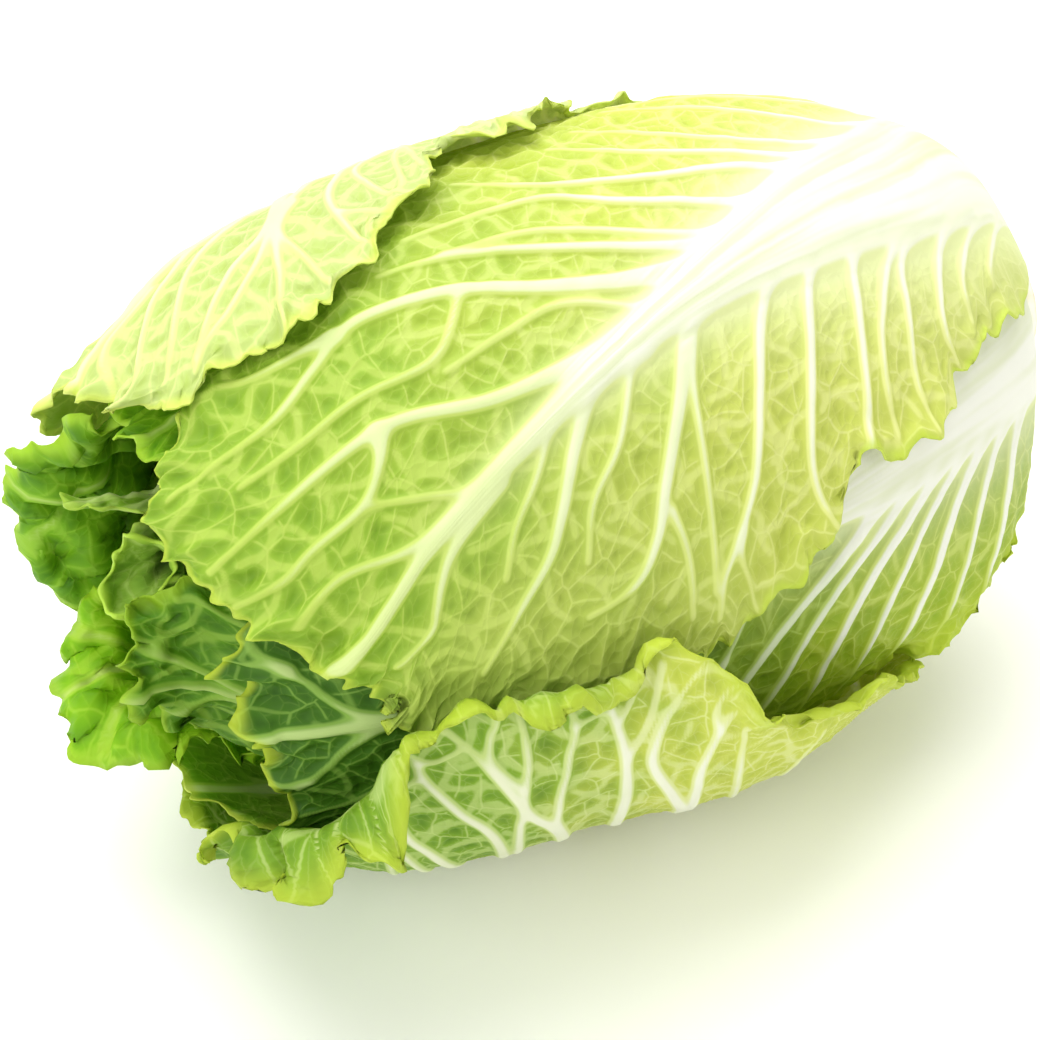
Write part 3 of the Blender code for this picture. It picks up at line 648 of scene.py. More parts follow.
def leaf_skin(name, cell, deep, vein_line, rib, rim, ripe_from=90.0, ripe_to=250.0, by_stalk="#F0F7C2",
              see_through=0.30, rim_width=3.2, rim_near_stem=1.0, shaded_low_side=None, twig_share=0.50,
              dark_inside=None):
    """Waxy cabbage leaf: green cells, deeper in their middles, partly their own colour and partly
    painted shade in the hollows, in a pale net of veins, with white ribs and stalk and a yellow margin,
    partly a painted highlight. A low side can take a duller painted shade, and a rolled leaf a dark
    painted shade inside. Light on one side glows through to the other.

    Each colour but the margin's is a pair: near the stem, and at the tip, where the leaf is riper.
    """
    material, shader = new_paint(name, {"Roughness": 0.52, "Specular IOR Level": 0.24})
    tree = material.node_tree

    sheet = add(tree, "ShaderNodeAttribute", give="Vector", attribute_name="sheet",
                attribute_type="GEOMETRY")
    vein, twig, pale, margin, ridge = [
        add(tree, "ShaderNodeAttribute", give="Fac", attribute_name=label, attribute_type="GEOMETRY")
        for label in ("vein", "twig", "pale", "margin", "ridge")]
    along, across = add(tree, "ShaderNodeSeparateXYZ", sheet).node.outputs[:2]
    wide = vein_net(tree, sheet, *wide_net)
    fine = vein_net(tree, sheet, *fine_net)
    # it ripens unevenly: the change comes earlier or later from one patch of the leaf to the next
    shifted_by = 90.0
    cloud = add(tree, "ShaderNodeTexNoise", {"Vector": sheet, "Scale": 0.05, "Detail": 2.0})
    uneven = add(tree, "times", add(tree, "minus", cloud, 0.5), shifted_by)
    ripe = add(tree, "fade", add(tree, "plus", along, uneven), ripe_from, ripe_to)
    cell_colour, deeper_and_shaded_colour, line_colour, rib_colour = [
        add(tree, "mix", ripe, *pair) for pair in (cell, deep, vein_line, rib)]

    # the blade is deeper green in the middle of each cell, partly its own colour and partly painted shade in
    # the sunken hollow there, and nearly white beside the stalk
    nearest = add(tree, "most", vein, twig)
    outside = add(tree, "most", add(tree, "times", nearest, -1.0), 0.0)
    wide_hollow_share = hollow(tree, add(tree, "least", wide, outside), 2.2)
    fine_hollow_share = add(tree, "fade", fine, 0.05, 1.1, 0.70, 1.0)
    skin = add(tree, "mix", add(tree, "times", wide_hollow_share, fine_hollow_share), cell_colour, deeper_and_shaded_colour)
    # painted shade: the leaf's low side, away from the lamp, is blended towards a duller, darker colour
    if shaded_low_side is not None:
        skin = add(tree, "mix", add(tree, "fade", across, -4.0, -26.0, 0.0, 0.28), skin, shaded_low_side)

    # veins: the fine net, the coarse net, then the ribs
    off_rib = add(tree, "fade", vein, -1.2, -0.3, 1.0, 0.0)
    fine_line = add(tree, "times", add(tree, "fade", fine, 0.03, 0.26, 0.12, 0.0), off_rib)
    wide_line = add(tree, "times", add(tree, "fade", wide, 0.08, 0.42, 0.50, 0.0), off_rib)
    skin = add(tree, "mix", add(tree, "most", fine_line, wide_line), skin, line_colour)
    skin = add(tree, "mix", add(tree, "fade", twig, -0.60, 0.12, 0.0, twig_share), skin, line_colour)
    skin = add(tree, "mix", add(tree, "fade", vein, -0.45, 0.12, 0.0, 0.9), skin, line_colour)
    skin = add(tree, "mix", pale, skin, by_stalk)
    skin = add(tree, "mix", add(tree, "fade", vein, 0.15, 0.90), skin, rib_colour)
    # the margin band: the leaf's own yellow edge, and partly a painted highlight along it; near the stem it
    # can be widened to paint light over a frill that lies in shade
    if rim_near_stem < 1.0:
        narrowed = add(tree, "fade", along, 100.0, 150.0, rim_near_stem, 1.0)
        margin = add(tree, "times", margin, narrowed)
    margin_and_highlight_share = add(tree, "times", add(tree, "fade", margin, 0.3, rim_width, 0.75, 0.0),
                      add(tree, "fade", pale, 0.05, 0.6, 1.0, 0.0))
    skin = add(tree, "mix", margin_and_highlight_share, skin, rim)

    # stalk: white, with faint lengthwise strands
    strand_place = add(tree, "ShaderNodeCombineXYZ", add(tree, "times", ridge, 4.0),
                        add(tree, "times", along, 0.010))
    strand = add(tree, "ShaderNodeTexNoise", {"Vector": strand_place, "Scale": 1.0, "Detail": 2.0})
    stalk = add(tree, "fade", vein, 0.0, 3.5)
    white_skin = add(tree, "mix", add(tree, "fade", strand, 0.36, 0.62), "#E9EECB", "#FDFDF4")
    on_stalk = add(tree, "times", stalk, add(tree, "fade", pale, 0.2, 0.8))
    skin = add(tree, "mix", on_stalk, skin, white_skin)
    # painted shade: far enough in from the margin the colour turns dark green, for the inside of a roll
    if dark_inside is not None:
        skin = add(tree, "mix", add(tree, "fade", margin, *dark_inside, 0.0, 0.92), skin, "#17330A")
    tree.links.new(skin, shader.inputs["Base Color"])

    # relief too fine for the mesh
    ridges = add(tree, "plus", hollow(tree, fine, 0.5), hollow(tree, wide, 0.9))
    ridges = add(tree, "times", add(tree, "times", ridges, -0.35), off_rib)
    ridges = add(tree, "plus", ridges, add(tree, "fade", vein, -0.6, 0.6, 0.0, 0.5))
    strands = add(tree, "times", add(tree, "times", strand, stalk), 1.8)
    grain = add(tree, "ShaderNodeTexNoise", {"Vector": sheet, "Scale": 1.1, "Detail": 1.0})
    heights = add(tree, "plus", add(tree, "plus", ridges, strands), add(tree, "times", grain, 0.12))
    bump = add(tree, "ShaderNodeBump", {"Height": heights, "Strength": 0.5, "Distance": 0.0006})
    tree.links.new(bump, shader.inputs["Normal"])
    glow = add(tree, "ShaderNodeBsdfTranslucent", {"Color": skin, "Normal": bump})
    both = add(tree, "ShaderNodeMixShader", see_through, shader.outputs[0], glow)
    tree.links.new(both, tree.nodes["Material Output"].inputs["Surface"])
    return material


def finish_leaf(name, leaf, material, node, heights=(), whiteness=1.0):
    leaf_object = raise_relief(leaf_mesh(name, leaf, whiteness), material, heights)
    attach(leaf_object, "root")
    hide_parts(node)


front_midrib = ((0.0, 84), (0.07, 83), (0.21, 71), (0.35, 66), (0.50, 59.5), (0.65, 50.5), (0.79, 38),
                (0.88, 22), (1.0, 10))
front_low = ((0.0, 56), (0.05, 45), (0.105, 37), (0.21, 33), (0.27, 26), (0.38, 26), (0.42, 14), (0.50, 12),
             (0.56, 0), (0.70, -2), (0.86, 8), (1.0, 10))
front_high = ((0.0, 110), (0.05, 124), (0.2, 138), (0.5, 138), (0.7, 122), (0.85, 100), (0.93, 82),
              (1.0, 74))
front_reach = ((-1.0, 0.865), (-0.5, 0.875), (0.0, 0.89), (0.25, 0.93), (0.5, 0.957), (0.75, 0.965),
               (1.0, 0.92))
front_shape = (0.010, front_midrib, front_low, front_high, front_reach)
front_sunk = 0.0042
# side ribs that run up over the head, from the stem to the tip
front_ribs = [
    one_rib(2.6, 1.0,  4, 100,  12, 107,  22, 113,  32, 118),
    one_rib(2.6, 1.0,  9, 94,  18, 102,  28, 109,  38, 116),
    one_rib(3.0, 1.0,  15, 86,  24, 91,  32, 101,  40, 112),
    one_rib(2.8, 1.0,  20, 80,  30, 84,  38, 92,  46, 104),
    one_rib(3.0, 1.2,  26, 75,  34.5, 83,  43, 90,  50, 100),
    one_rib(3.4, 1.2,  29, 73,  36, 80,  46, 84,  54, 90,  60, 100),
    one_rib(3.4, 1.2,  35, 69,  42, 74.5,  49, 80,  56, 87.5,  68, 90),
    one_rib(2.4, 1.0,  40, 67,  47.5, 71,  58, 80.5,  66, 83.5),
    one_rib(3.4, 1.4,  41, 65.5,  48, 68.5,  57, 75.5,  65, 82,  72, 85),
    one_rib(4.6, 1.4,  44, 63,  52, 65,  60, 69.5,  68, 76,  76, 78.5,  81, 74,  86, 69.5,  94, 69),
    one_rib(2.2, 1.0,  78, 78,  84, 79,  89, 84),
    one_rib(1.6, 0.9,  53, 60,  60, 66,  66, 65,  72, 63),
    one_rib(1.8, 0.9,  67, 75,  72, 66,  79, 65.5,  85, 63,  90, 62),
    one_rib(4.2, 1.3,  55, 57,  62, 56,  70, 56,  77, 59,  82, 58,  88, 54.5,  95, 49),
    one_rib(2.4, 1.0,  79, 58.5,  80, 54,  82.5, 48.5,  87, 45,  90, 41.5,  94, 40),
    one_rib(1.6, 0.9,  68, 48,  74, 44.5,  78, 46,  82, 48),
    one_rib(2.2, 1.0,  76, 41,  81, 38.8,  86, 38.4,  90, 32),
    # and those that run down the front
    one_rib(2.6, 1.2,  6, 62,  11, 55,  15, 47,  16, 40),
    one_rib(2.8, 1.2,  10, 61,  16, 55,  20, 47,  21, 39),
    one_rib(3.0, 1.3,  14, 60,  20, 56,  24, 45,  25, 37,  24, 28),
    one_rib(2.8, 1.1,  19, 60,  26, 55,  29, 43,  30.5, 34,  30.5, 27),
    one_rib(2.6, 1.1,  20, 61,  27, 56,  32, 45,  34, 36,  34.5, 28),
    one_rib(3.2, 1.2,  25, 61,  31, 59,  34, 48,  36.5, 35,  39, 21,  40, 15),
    one_rib(3.2, 1.2,  30, 61,  36, 59,  41, 43,  44, 29,  44, 20,  43, 15),
    one_rib(3.6, 1.2,  34, 61.5,  40, 59,  44, 52,  47, 42,  50, 30,  53, 20,  52, 11),
    one_rib(1.8, 0.9,  52.5, 22.4,  55, 16,  56, 8),
    one_rib(4.4, 1.3,  42, 61,  50, 56,  54.5, 45,  58.5, 33.5,  60.5, 26.5,  63.5, 20.5,  68, 18.5),
    one_rib(1.8, 0.9,  51, 53,  53, 45,  54.5, 33,  55.5, 21,  56, 14),
    one_rib(1.8, 0.9,  58.5, 30,  58, 21,  58.5, 11),
    one_rib(2.2, 1.0,  52, 57,  56.5, 54,  61, 42.5,  65, 35.5,  67, 27),
    one_rib(4.0, 1.3,  56, 55,  61, 52,  65, 44,  68, 35.5,  70, 30,  73.5, 23.5,  77.5, 15),
    one_rib(1.6, 0.9,  66, 49,  69, 42,  72, 36,  74, 29),
    one_rib(2.6, 1.0,  72, 44,  77, 37,  79, 32,  80, 28,  81, 24.5,  84.5, 20),
]
front_leaf = grow_leaf(
    331, 215, front_shape,
    level(front_sunk), midrib_width,
    ((0.0, 0.0030), (0.6, 0.0016), (0.8, 0.0004), (1.0, 0.0003)), ((0.0, 0.003), (0.6, 0.001), (1.0, 0.0)),
    lambda s, v: np.where(v < 0.0, 0.0040 * (1.0 - smooth_step(0.45, 0.56, s)),
                          0.0030 * smooth_step(0.88, 0.94, s)) + 0.0004,
    waves=6, phase=0.2, frill=0.0032, teeth=0.0020, scallop=0.0070, scallop_length=0.0085,
    blade_from=(0.03, 0.18), seed=11)
draw_ribs(front_leaf, front_ribs, 21)
# the front leaf's skin: its low side takes a duller colour as painted shade
front_skin = leaf_skin(
    "waxy_leaf_front", cell=("#DEE770", "#A4C840"), deep=("#C8D842", "#76A41E"),
    vein_line=("#F2F5A2", "#CCE268"), rib=("#FDFEEA", "#E2F0A2"), rim="#D0E452", by_stalk="#F2F8BC",
    shaded_low_side="#CBCE74", rim_width=2.4)
finish_leaf("front_leaf_blade", front_leaf, front_skin, "front_leaf")

# ---- back leaf -----------------------------------------------------------------------------
# The outer leaf that wraps the head from behind. It is the palest, almost yellow, and its front
# edge lies in loose lobes over the front leaf. Its stalk is on the far side.
back_midrib = ((0.0, 166), (0.2, 160), (0.5, 150), (0.75, 134), (1.0, 108))
back_low = ((0.0, 128), (0.1, 132), (0.3, 136), (0.38, 128), (0.44, 114), (0.60, 102), (0.70, 88),
            (0.80, 82), (0.90, 82), (1.0, 84))
back_high = ((0.0, 216), (0.1, 214), (0.4, 214), (0.7, 212), (0.9, 192), (1.0, 162))
back_reach = ((-1.0, 0.93), (-0.6, 0.950), (0.0, 0.953), (0.5, 0.943), (1.0, 0.90))
back_shape = (0.010, back_midrib, back_low, back_high, back_reach)
back_sunk = ((-1.0, 0.0012), (-0.5, 0.0), (0.3, 0.0005), (0.75, 0.0034), (1.0, 0.0036))
# side ribs that come over the top of the head to the front edge
back_ribs = [
    one_rib(2.4, 1.0,  53, 136,  62, 122,  65.5, 113,  66, 100,  64.5, 94),
    one_rib(2.8, 1.0,  59, 134,  66, 118,  70, 107,  71.5, 94,  71, 87),
    one_rib(1.6, 0.8,  70.5, 101,  68.5, 96,  67, 90),
    one_rib(3.2, 1.1,  64, 132,  70, 120,  75, 108,  77.5, 99,  79, 92,  82, 82),
    one_rib(2.0, 0.9,  71, 118,  75.4, 107,  76, 95,  76.4, 85),
    one_rib(2.4, 1.0,  72, 115,  76, 107,  80, 98.5,  85, 92,  88.5, 86),
    one_rib(2.8, 1.0,  70, 126,  75.5, 110,  81, 102.5,  85, 96,  88, 88),
    one_rib(2.8, 1.0,  74, 130,  80, 119,  83.5, 112,  87, 102,  91, 88),
    one_rib(2.4, 0.9,  80, 126,  86.5, 115,  90, 105,  93.5, 89),
    one_rib(2.0, 0.9,  85, 122,  90, 116,  92.5, 111,  95.5, 99),
]
back_ribs += side_ribs(back_shape, 6, 31, sides=(-1,), to_share=0.55)
back_ribs += side_ribs(back_shape, 10, 32, sides=(1,))
back_leaf = grow_leaf(
    291, 181, back_shape, back_sunk, midrib_width,
    ((0.0, 0.0020), (1.0, 0.0005)), ((0.0, 0.003), (0.6, 0.001), (1.0, 0.0)),
    lambda s, v: 0.0010 + 0.0042 * smooth_step(0.42, 0.56, s) * smooth_step(0.7, 0.3, v),
    waves=5.5, phase=1.9, frill=0.0034, teeth=0.0030, scallop=0.0085, scallop_length=0.012, seen_side=-1,
    seed=12)
draw_ribs(back_leaf, back_ribs, 22)
back_skin = leaf_skin(
    "waxy_leaf_back", cell=("#D9E59C", "#D1E18E"), deep=("#CBDD78", "#B4CE54"),
    vein_line=("#F4F9B0", "#EEF69C"), rib=("#FCFDE2", "#F8FBC2"), rim="#DCEA66")
finish_leaf("back_leaf_blade", back_leaf, back_skin, "back_leaf")

# ---- lower leaf ----------------------------------------------------------------------------
# The outermost leaf, which cradles the head from below and carries its weight. Its white ribs
# rise from the stalk underneath, and its front margin rolls outwards in a yellow frill.
lower_midrib = ((0.0, -86), (0.5, -84), (0.8, -76), (1.0, -62))
lower_low = ((0.0, -136), (0.1, -148), (0.4, -163), (0.7, -160), (0.9, -138), (1.0, -118))
lower_high = ((0.0, -56), (0.1, -52), (0.2, -42), (0.25, -35), (0.29, -29), (0.34, -21), (0.40, -13),
              (0.48, -8), (0.53, -7), (0.58, 5), (0.65, 14), (0.80, 14), (0.86, 11), (0.93, -2), (1.0, -14))
lower_reach = ((-1.0, 0.88), (-0.5, 0.940), (0.0, 0.972), (0.4, 0.988), (0.8, 0.985), (1.0, 0.955))
lower_shape = (0.0, lower_midrib, lower_low, lower_high, lower_reach)
lower_bulge = ((0.16, 0.0), (0.24, 0.0030), (0.36, 0.0065), (0.45, 0.0078), (0.55, 0.0056), (0.66, 0.0))


def lower_lift(s, v):
    loose_corner = 0.0060 * smooth_step(0.50, 1.0, v) * smooth_step(0.86, 0.94, s)
    return smooth_curve(lower_bulge, s) * smooth_step(0.15, 0.62, v) + loose_corner


# side ribs that rise from below on the front side, from the stem to the tip
lower_ribs = [
    one_rib(3.0, 1.2,  16, -84,  24, -66,  30, -50,  31, -43),
    one_rib(3.2, 1.2,  22, -84,  31, -66,  37, -50,  39, -38),
    one_rib(3.4, 1.2,  28, -84,  38, -64,  44, -44,  46, -28,  45.5, -18),
    one_rib(3.2, 1.2,  34, -84,  44, -64,  50, -42,  54, -22,  55.3, -6),
    one_rib(4.2, 1.4,  38, -84,  48, -64,  55.5, -38,  58.2, -21,  58.1, -12,  57, -4,  55, 0),
    one_rib(1.6, 0.9,  57.8, -8,  58.5, -2,  57, 3),
    one_rib(4.2, 1.4,  43, -84,  52, -62,  56.5, -38,  60, -25,  63.3, -13,  63.3, -5,  62, 1,  60, 6),
    one_rib(4.6, 1.5,  48, -84,  56, -64,  63, -38,  65, -20,  66.2, -8,  67.7, 2.5,  68.3, 10),
    one_rib(1.6, 0.9,  65.8, -10,  64, 0,  63, 8),
    one_rib(1.5, 0.8,  66.8, 0,  65.6, 4,  65.3, 9),
    one_rib(3.0, 1.2,  53, -84,  62, -62,  70, -30,  71.7, -18,  71.5, -5,  71, 2,  72.5, 12),
    one_rib(1.3, 0.9,  71.2, 2,  69, 3,  67.7, 2.5),
    one_rib(3.2, 1.3,  60, -82,  69, -56,  74, -30,  75.2, -14,  75.3, -1,  76.5, 13),
    one_rib(1.8, 0.9,  75.5, -10,  78.5, 0,  78, 8,  78.3, 14),
    one_rib(4.4, 1.5,  58, -82,  64, -62,  68, -40,  71, -27,  74, -19,  76.5, -10,  79, -1,  83, 12),
    one_rib(3.4, 1.2,  64, -80,  71, -54,  77, -24,  80.6, -13,  83.8, -2,  84.5, 4,  86.5, 10),
    one_rib(1.4, 0.9,  84.4, 3,  82.8, 2,  81, 3),
    one_rib(3.4, 1.2,  68, -78,  76, -50,  82, -28,  84.5, -20,  85.7, -13,  86.5, -7,  89.5, 2),
    one_rib(1.4, 0.9,  86.2, -8,  85.6, -4,  84, -1.5),
    one_rib(2.8, 1.0,  73, -76,  80, -46,  85, -25,  88, -17,  92, -4),
    one_rib(2.2, 0.9,  78, -74,  84, -40,  87, -20,  91, -13,  93.5, -8),
]
lower_ribs += side_ribs(lower_shape, 10, 33, sides=(-1,))
lower_leaf = grow_leaf(
    301, 201, lower_shape, ((-1.0, 0.0), (0.35, 0.0), (1.0, 0.0010)),
    midrib_width, ((0.0, 0.0016), (1.0, 0.0005)), ((0.0, 0.0020), (0.6, 0.0014), (1.0, 0.0)),
    lambda s, v: 0.0046 - 0.0016 * smooth_step(0.0, -0.5, v) + 0.0035 * smooth_step(0.85, 0.95, s),
    waves=6, phase=0.6, frill=0.0036, teeth=0.0026, scallop=0.0050, scallop_length=0.009, seen_side=1,
    lift=lower_lift, seed=13,
    rolls=((1, 0.0030, 80.0, 0.37, 0.52), (1, 0.0021, 215.0, 0.60, 0.92), (1, 0.0080, 155.0, 0.84, 1.20)),
    tip_curl=(0.0080, 65.0, -0.5, 0.8), blade_from=(0.04, 0.18))
draw_ribs(lower_leaf, lower_ribs, 23, fillet=0.0014, thinnest=0.00048)
lower_skin = leaf_skin(
    "waxy_leaf_lower", cell=("#DCE46A", "#94BC34"), deep=("#BECE3A", "#447C0E"),
    vein_line=("#F2F7B8", "#D4E592"), rib=("#FDFEF0", "#F6F9DC"), rim="#CEE046", ripe_from=150.0,
    ripe_to=215.0, rim_width=7.0, rim_near_stem=0.6)
finish_leaf("lower_leaf_blade", lower_leaf, lower_skin, "lower_leaf")

# ---- side leaf -----------------------------------------------------------------------------
# Low on the front side under the front leaf. Near the stem its white stalk and close-set ribs
# show, and its lower margin stands out in a bright frill, widened with painted light where it lies
# in shade; its tip is a deep green, partly painted shade.
side_midrib = ((0.0, 31), (0.13, 29), (0.27, 26), (0.39, 22), (0.6, 15), (0.8, 8), (1.0, 4))
side_low = ((0.0, -8), (0.05, -18), (0.12, -25), (0.21, -29), (0.30, -32), (0.38, -37), (0.45, -43),
            (0.6, -48), (0.85, -40), (1.0, -14))
side_high = ((0.0, 54), (0.1, 62), (0.4, 70), (0.7, 64), (0.9, 45), (1.0, 28))
side_reach = ((-1.0, 0.90), (-0.5, 0.945), (0.0, 0.952), (0.5, 0.955), (1.0, 0.92))
side_shape = (0.022, side_midrib, side_low, side_high, side_reach)
side_sunk = 0.0098


def side_flare(s, v):
    along = smooth_step(0.03, 0.16, s) * smooth_step(0.58, 0.44, s)
    return (0.0110 - 0.0035 * smooth_step(0.24, 0.34, s)) * smooth_step(-0.30, -0.90, v) * along


# close-set ribs that fan down from the stalk to the frill
side_leaf_ribs = []
for number in range(7):
    share = number / 6.0
    root_s = 0.05 + 0.26 * share
    fall = 0.80 + 0.35 * share
    side_leaf_ribs.append((
        ((root_s, 29 - 6 * share), (root_s + 0.068, 15 - 4 * share), (root_s + 0.140 * fall, 2 - 4 * share),
         (root_s + 0.190 * fall, -14 - 3 * share), (root_s + 0.215 * fall, -28 - 4 * share)),
        5.2 - 1.2 * (number % 2), 1.8))
side_leaf_ribs += side_ribs(side_shape, 6, 34, sides=(-1,), from_share=0.45)
side_leaf_ribs += side_ribs(side_shape, 8, 35, sides=(1,), from_share=0.3)
side_leaf = grow_leaf(
    261, 171, side_shape, level(side_sunk),
    midrib_width, ((0.0, 0.0012), (0.6, 0.0008), (1.0, 0.0003)), ((0.0, 0.0012), (1.0, 0.0)),
    lambda s, v: 0.0006 + 0.0040 * smooth_step(0.0, -0.6, v) * smooth_step(0.34, 0.24, s)
    + 0.0020 * smooth_step(0.90, 0.94, s),
    waves=5.5, phase=2.6, frill=0.0040, teeth=0.0036, scallop=0.0060, scallop_length=0.008, seen_side=-1,
    lift=side_flare, blade_from=(0.02, 0.10), seed=14)
draw_ribs(side_leaf, side_leaf_ribs, 24, cross_gap=0.022, fillet=0.0030)
# its tip greens are deep and partly painted shade, and its margin band is widened near the stem as painted
# light over the shaded frill
side_skin = leaf_skin(
    "waxy_leaf_side", cell=("#B8CC3C", "#4E7F1C"), deep=("#98BC1C", "#2E5A0C"),
    vein_line=("#DCEA7A", "#96BE52"), rib=("#FEFEF6", "#C2DA88"), rim="#CCE03E", ripe_to=190.0,
    by_stalk="#F2F6D2", rim_width=4.0, rim_near_stem=0.22)
finish_leaf("side_leaf_blade", side_leaf, side_skin, "side_leaf", whiteness=0.6)

# ---- rear leaf and under leaf --------------------------------------------------------------
# Two leaves that close the head on its far side and underneath, where the outer leaves' edges
# meet over them.
rear_midrib = ((0.0, 212), (0.5, 208), (1.0, 200))
rear_low = ((0.0, 188), (0.1, 172), (0.4, 160), (0.7, 162), (1.0, 180))
rear_high = ((0.0, 236), (0.1, 246), (0.4, 257), (0.7, 252), (1.0, 226))
rear_reach = ((-1.0, 0.90), (0.0, 0.95), (1.0, 0.90))
rear_shape = (0.022, rear_midrib, rear_low, rear_high, rear_reach)
rear_sunk = 0.0098
rear_leaf = grow_leaf(
    161, 101, rear_shape, level(rear_sunk),
    midrib_width, ((0.0, 0.0012), (1.0, 0.0004)), ((0.0, 0.0012), (1.0, 0.0)),
    lambda s, v: 0.0010 + 0.0030 * smooth_step(0.90, 0.94, s), waves=4.5, phase=4.0, seed=15)
draw_ribs(rear_leaf, side_ribs(rear_shape, 9, 36), 25)
rear_skin = leaf_skin(
    "waxy_leaf_rear", cell=("#CFE460", "#9CC838"), deep=("#BAD840", "#7DB022"),
    vein_line=("#E6F496", "#C4E066"), rib=("#FAFCE4", "#E2F0A4"), rim="#D6E452")
finish_leaf("rear_leaf_blade", rear_leaf, rear_skin, "rear_leaf")

under_midrib = ((0.0, -92), (1.0, -88))
under_low = ((0.0, -124), (0.3, -132), (0.8, -128), (1.0, -112))
under_high = ((0.0, -70), (0.3, -66), (0.8, -66), (1.0, -72))
under_reach = ((-1.0, 0.90), (0.0, 0.945), (1.0, 0.91))
under_shape = (0.012, under_midrib, under_low, under_high, under_reach)
under_sunk = 0.0052
under_leaf = grow_leaf(
    101, 65, under_shape, level(under_sunk),
    midrib_width, level(0.0), ((0.0, 0.0020), (0.5, 0.0010), (1.0, 0.0)),
    lambda s, v: 0.0004 + 0.0020 * smooth_step(0.88, 0.94, s), waves=4, phase=5.2, seed=16)
draw_ribs(under_leaf, side_ribs(under_shape, 8, 37), 26)
finish_leaf("under_leaf_blade", under_leaf, rear_skin, "under_leaf")

# ---- inner leaves --------------------------------------------------------------------------
# Four crinkled leaves of the inner head, whose free tips stand up in the open end: one on top,
# one above that curls over the back, one that opens like a fan, and one with a coarse net.
inner_rib_width = ((0.0, 0.030), (0.3, 0.024), (0.7, 0.006), (0.9, 0.0028), (1.1, 0.0014))
inner_rib_out = ((0.0, 0.0008), (1.0, 0.0004))
inner_rib_in = ((0.0, 0.0006), (1.0, 0.0))


def inner_skin(name, cell, deep, vein_line, rib, rim, ripe_to=205.0, **more):
    """The skin of a leaf further in: pale green at the stem, and one of these colours at the tip."""
    return leaf_skin(name, ("#C6DC50", cell), ("#A8C838", deep), ("#DCEC84", vein_line), ("#F4F8D0", rib),
                     rim, ripe_from=120.0, ripe_to=ripe_to, **more)


# The first of these three skins, the darkest, is for leaves that lie in shade in the open end: its dark
# greens are partly the leaves' own and partly painted shade.
deep_and_shaded_skin = inner_skin("waxy_leaf_deep_green_and_shade", "#629A14", "#306406", "#94BE42", "#B4D06E", "#AED434",
                       twig_share=0.85)
mid_skin = inner_skin("waxy_leaf_mid_green", "#84BC18", "#3F7E08", "#A0CC3C", "#BCDA6C", "#B8E03C")
bright_skin = inner_skin("waxy_leaf_bright_green", "#92CC12", "#66A804", "#B4DC3C", "#C8E26C", "#B2DC30")


def inner_leaf(name, node, skin, rows, columns, shape, sunk, ruffle, waves, phase, tip_radius, seed,
               lift=None, crumple=0.0025, tip_curl=None, heights=()):
    leaf = grow_leaf(
        rows, columns, shape, level(sunk), inner_rib_width, inner_rib_out, inner_rib_in,
        ruffle, waves, phase, sweep=0.4, tip_radius=tip_radius, lift=lift, frill=0.0026, teeth=0.0018,
        scallop=0.0028, scallop_length=0.009, crumple=crumple, tip_curl=tip_curl, seed=seed)
    draw_ribs(leaf, side_ribs(shape, 8, seed + 20), seed + 40, fillet=0.0012)
    finish_leaf(name, leaf, skin, node, heights)


inner_leaf(
    "top_inner_blade", "inner_leaf_top", mid_skin, 131, 81,
    (0.030, ((0.0, 96), (1.0, 92)), ((0.0, 74), (0.3, 52), (0.8, 54), (1.0, 70)),
     ((0.0, 118), (0.3, 142), (0.8, 138), (1.0, 122)), ((-1.0, 0.89), (0.0, 0.945), (1.0, 0.90))), 0.0126,
    lambda s, v: 0.0008 + 0.0020 * smooth_step(0.88, 0.94, s), 4, 1.0, level(0.052), 17)
inner_leaf(
    "upper_inner_blade", "inner_leaf_upper", mid_skin, 221, 141,
    (0.036, ((0.0, 165), (0.8, 162), (1.0, 165)), ((0.0, 140), (0.3, 112), (0.8, 112), (1.1, 124)),
     ((0.0, 190), (0.3, 212), (0.8, 210), (1.1, 204)),
     ((-1.0, 0.950), (-0.4, 0.985), (0.2, 1.01), (0.6, 1.0), (1.0, 0.955))), 0.0160,
    lambda s, v: 0.0008 + 0.0050 * smooth_step(0.94, 0.98, s), 5, 0.4,
    ((-1.0, 0.042), (0.3, 0.046), (1.0, 0.047)), 18, crumple=0.0058,
    tip_curl=(0.0060, 80.0, -1.4, 1.4), heights=(("Hollow Depth", 1.9),))
inner_leaf(
    "fan_inner_blade", "inner_leaf_fan", bright_skin, 221, 141,
    (0.040, ((0.0, 246), (0.8, 240), (1.1, 236)), ((0.0, 222), (0.3, 196), (0.8, 198), (1.1, 196)),
     ((0.0, 270), (0.3, 292), (0.8, 288), (1.1, 284)),
     ((-1.0, 0.965), (-0.3, 1.015), (0.2, 1.035), (0.7, 1.010), (1.0, 0.96))), 0.0190,
    lambda s, v: 0.0008 + 0.0040 * smooth_step(0.96, 1.0, s), 5, 2.2,
    ((-1.0, 0.028), (0.0, 0.026), (1.0, 0.032)), 19,
    lift=lambda s, v: 0.004 * smooth_step(0.98, 1.03, s), crumple=0.0050,
    tip_curl=(0.006, 75.0, -1.4, 1.4), heights=(("Hollow Depth", 1.7),))
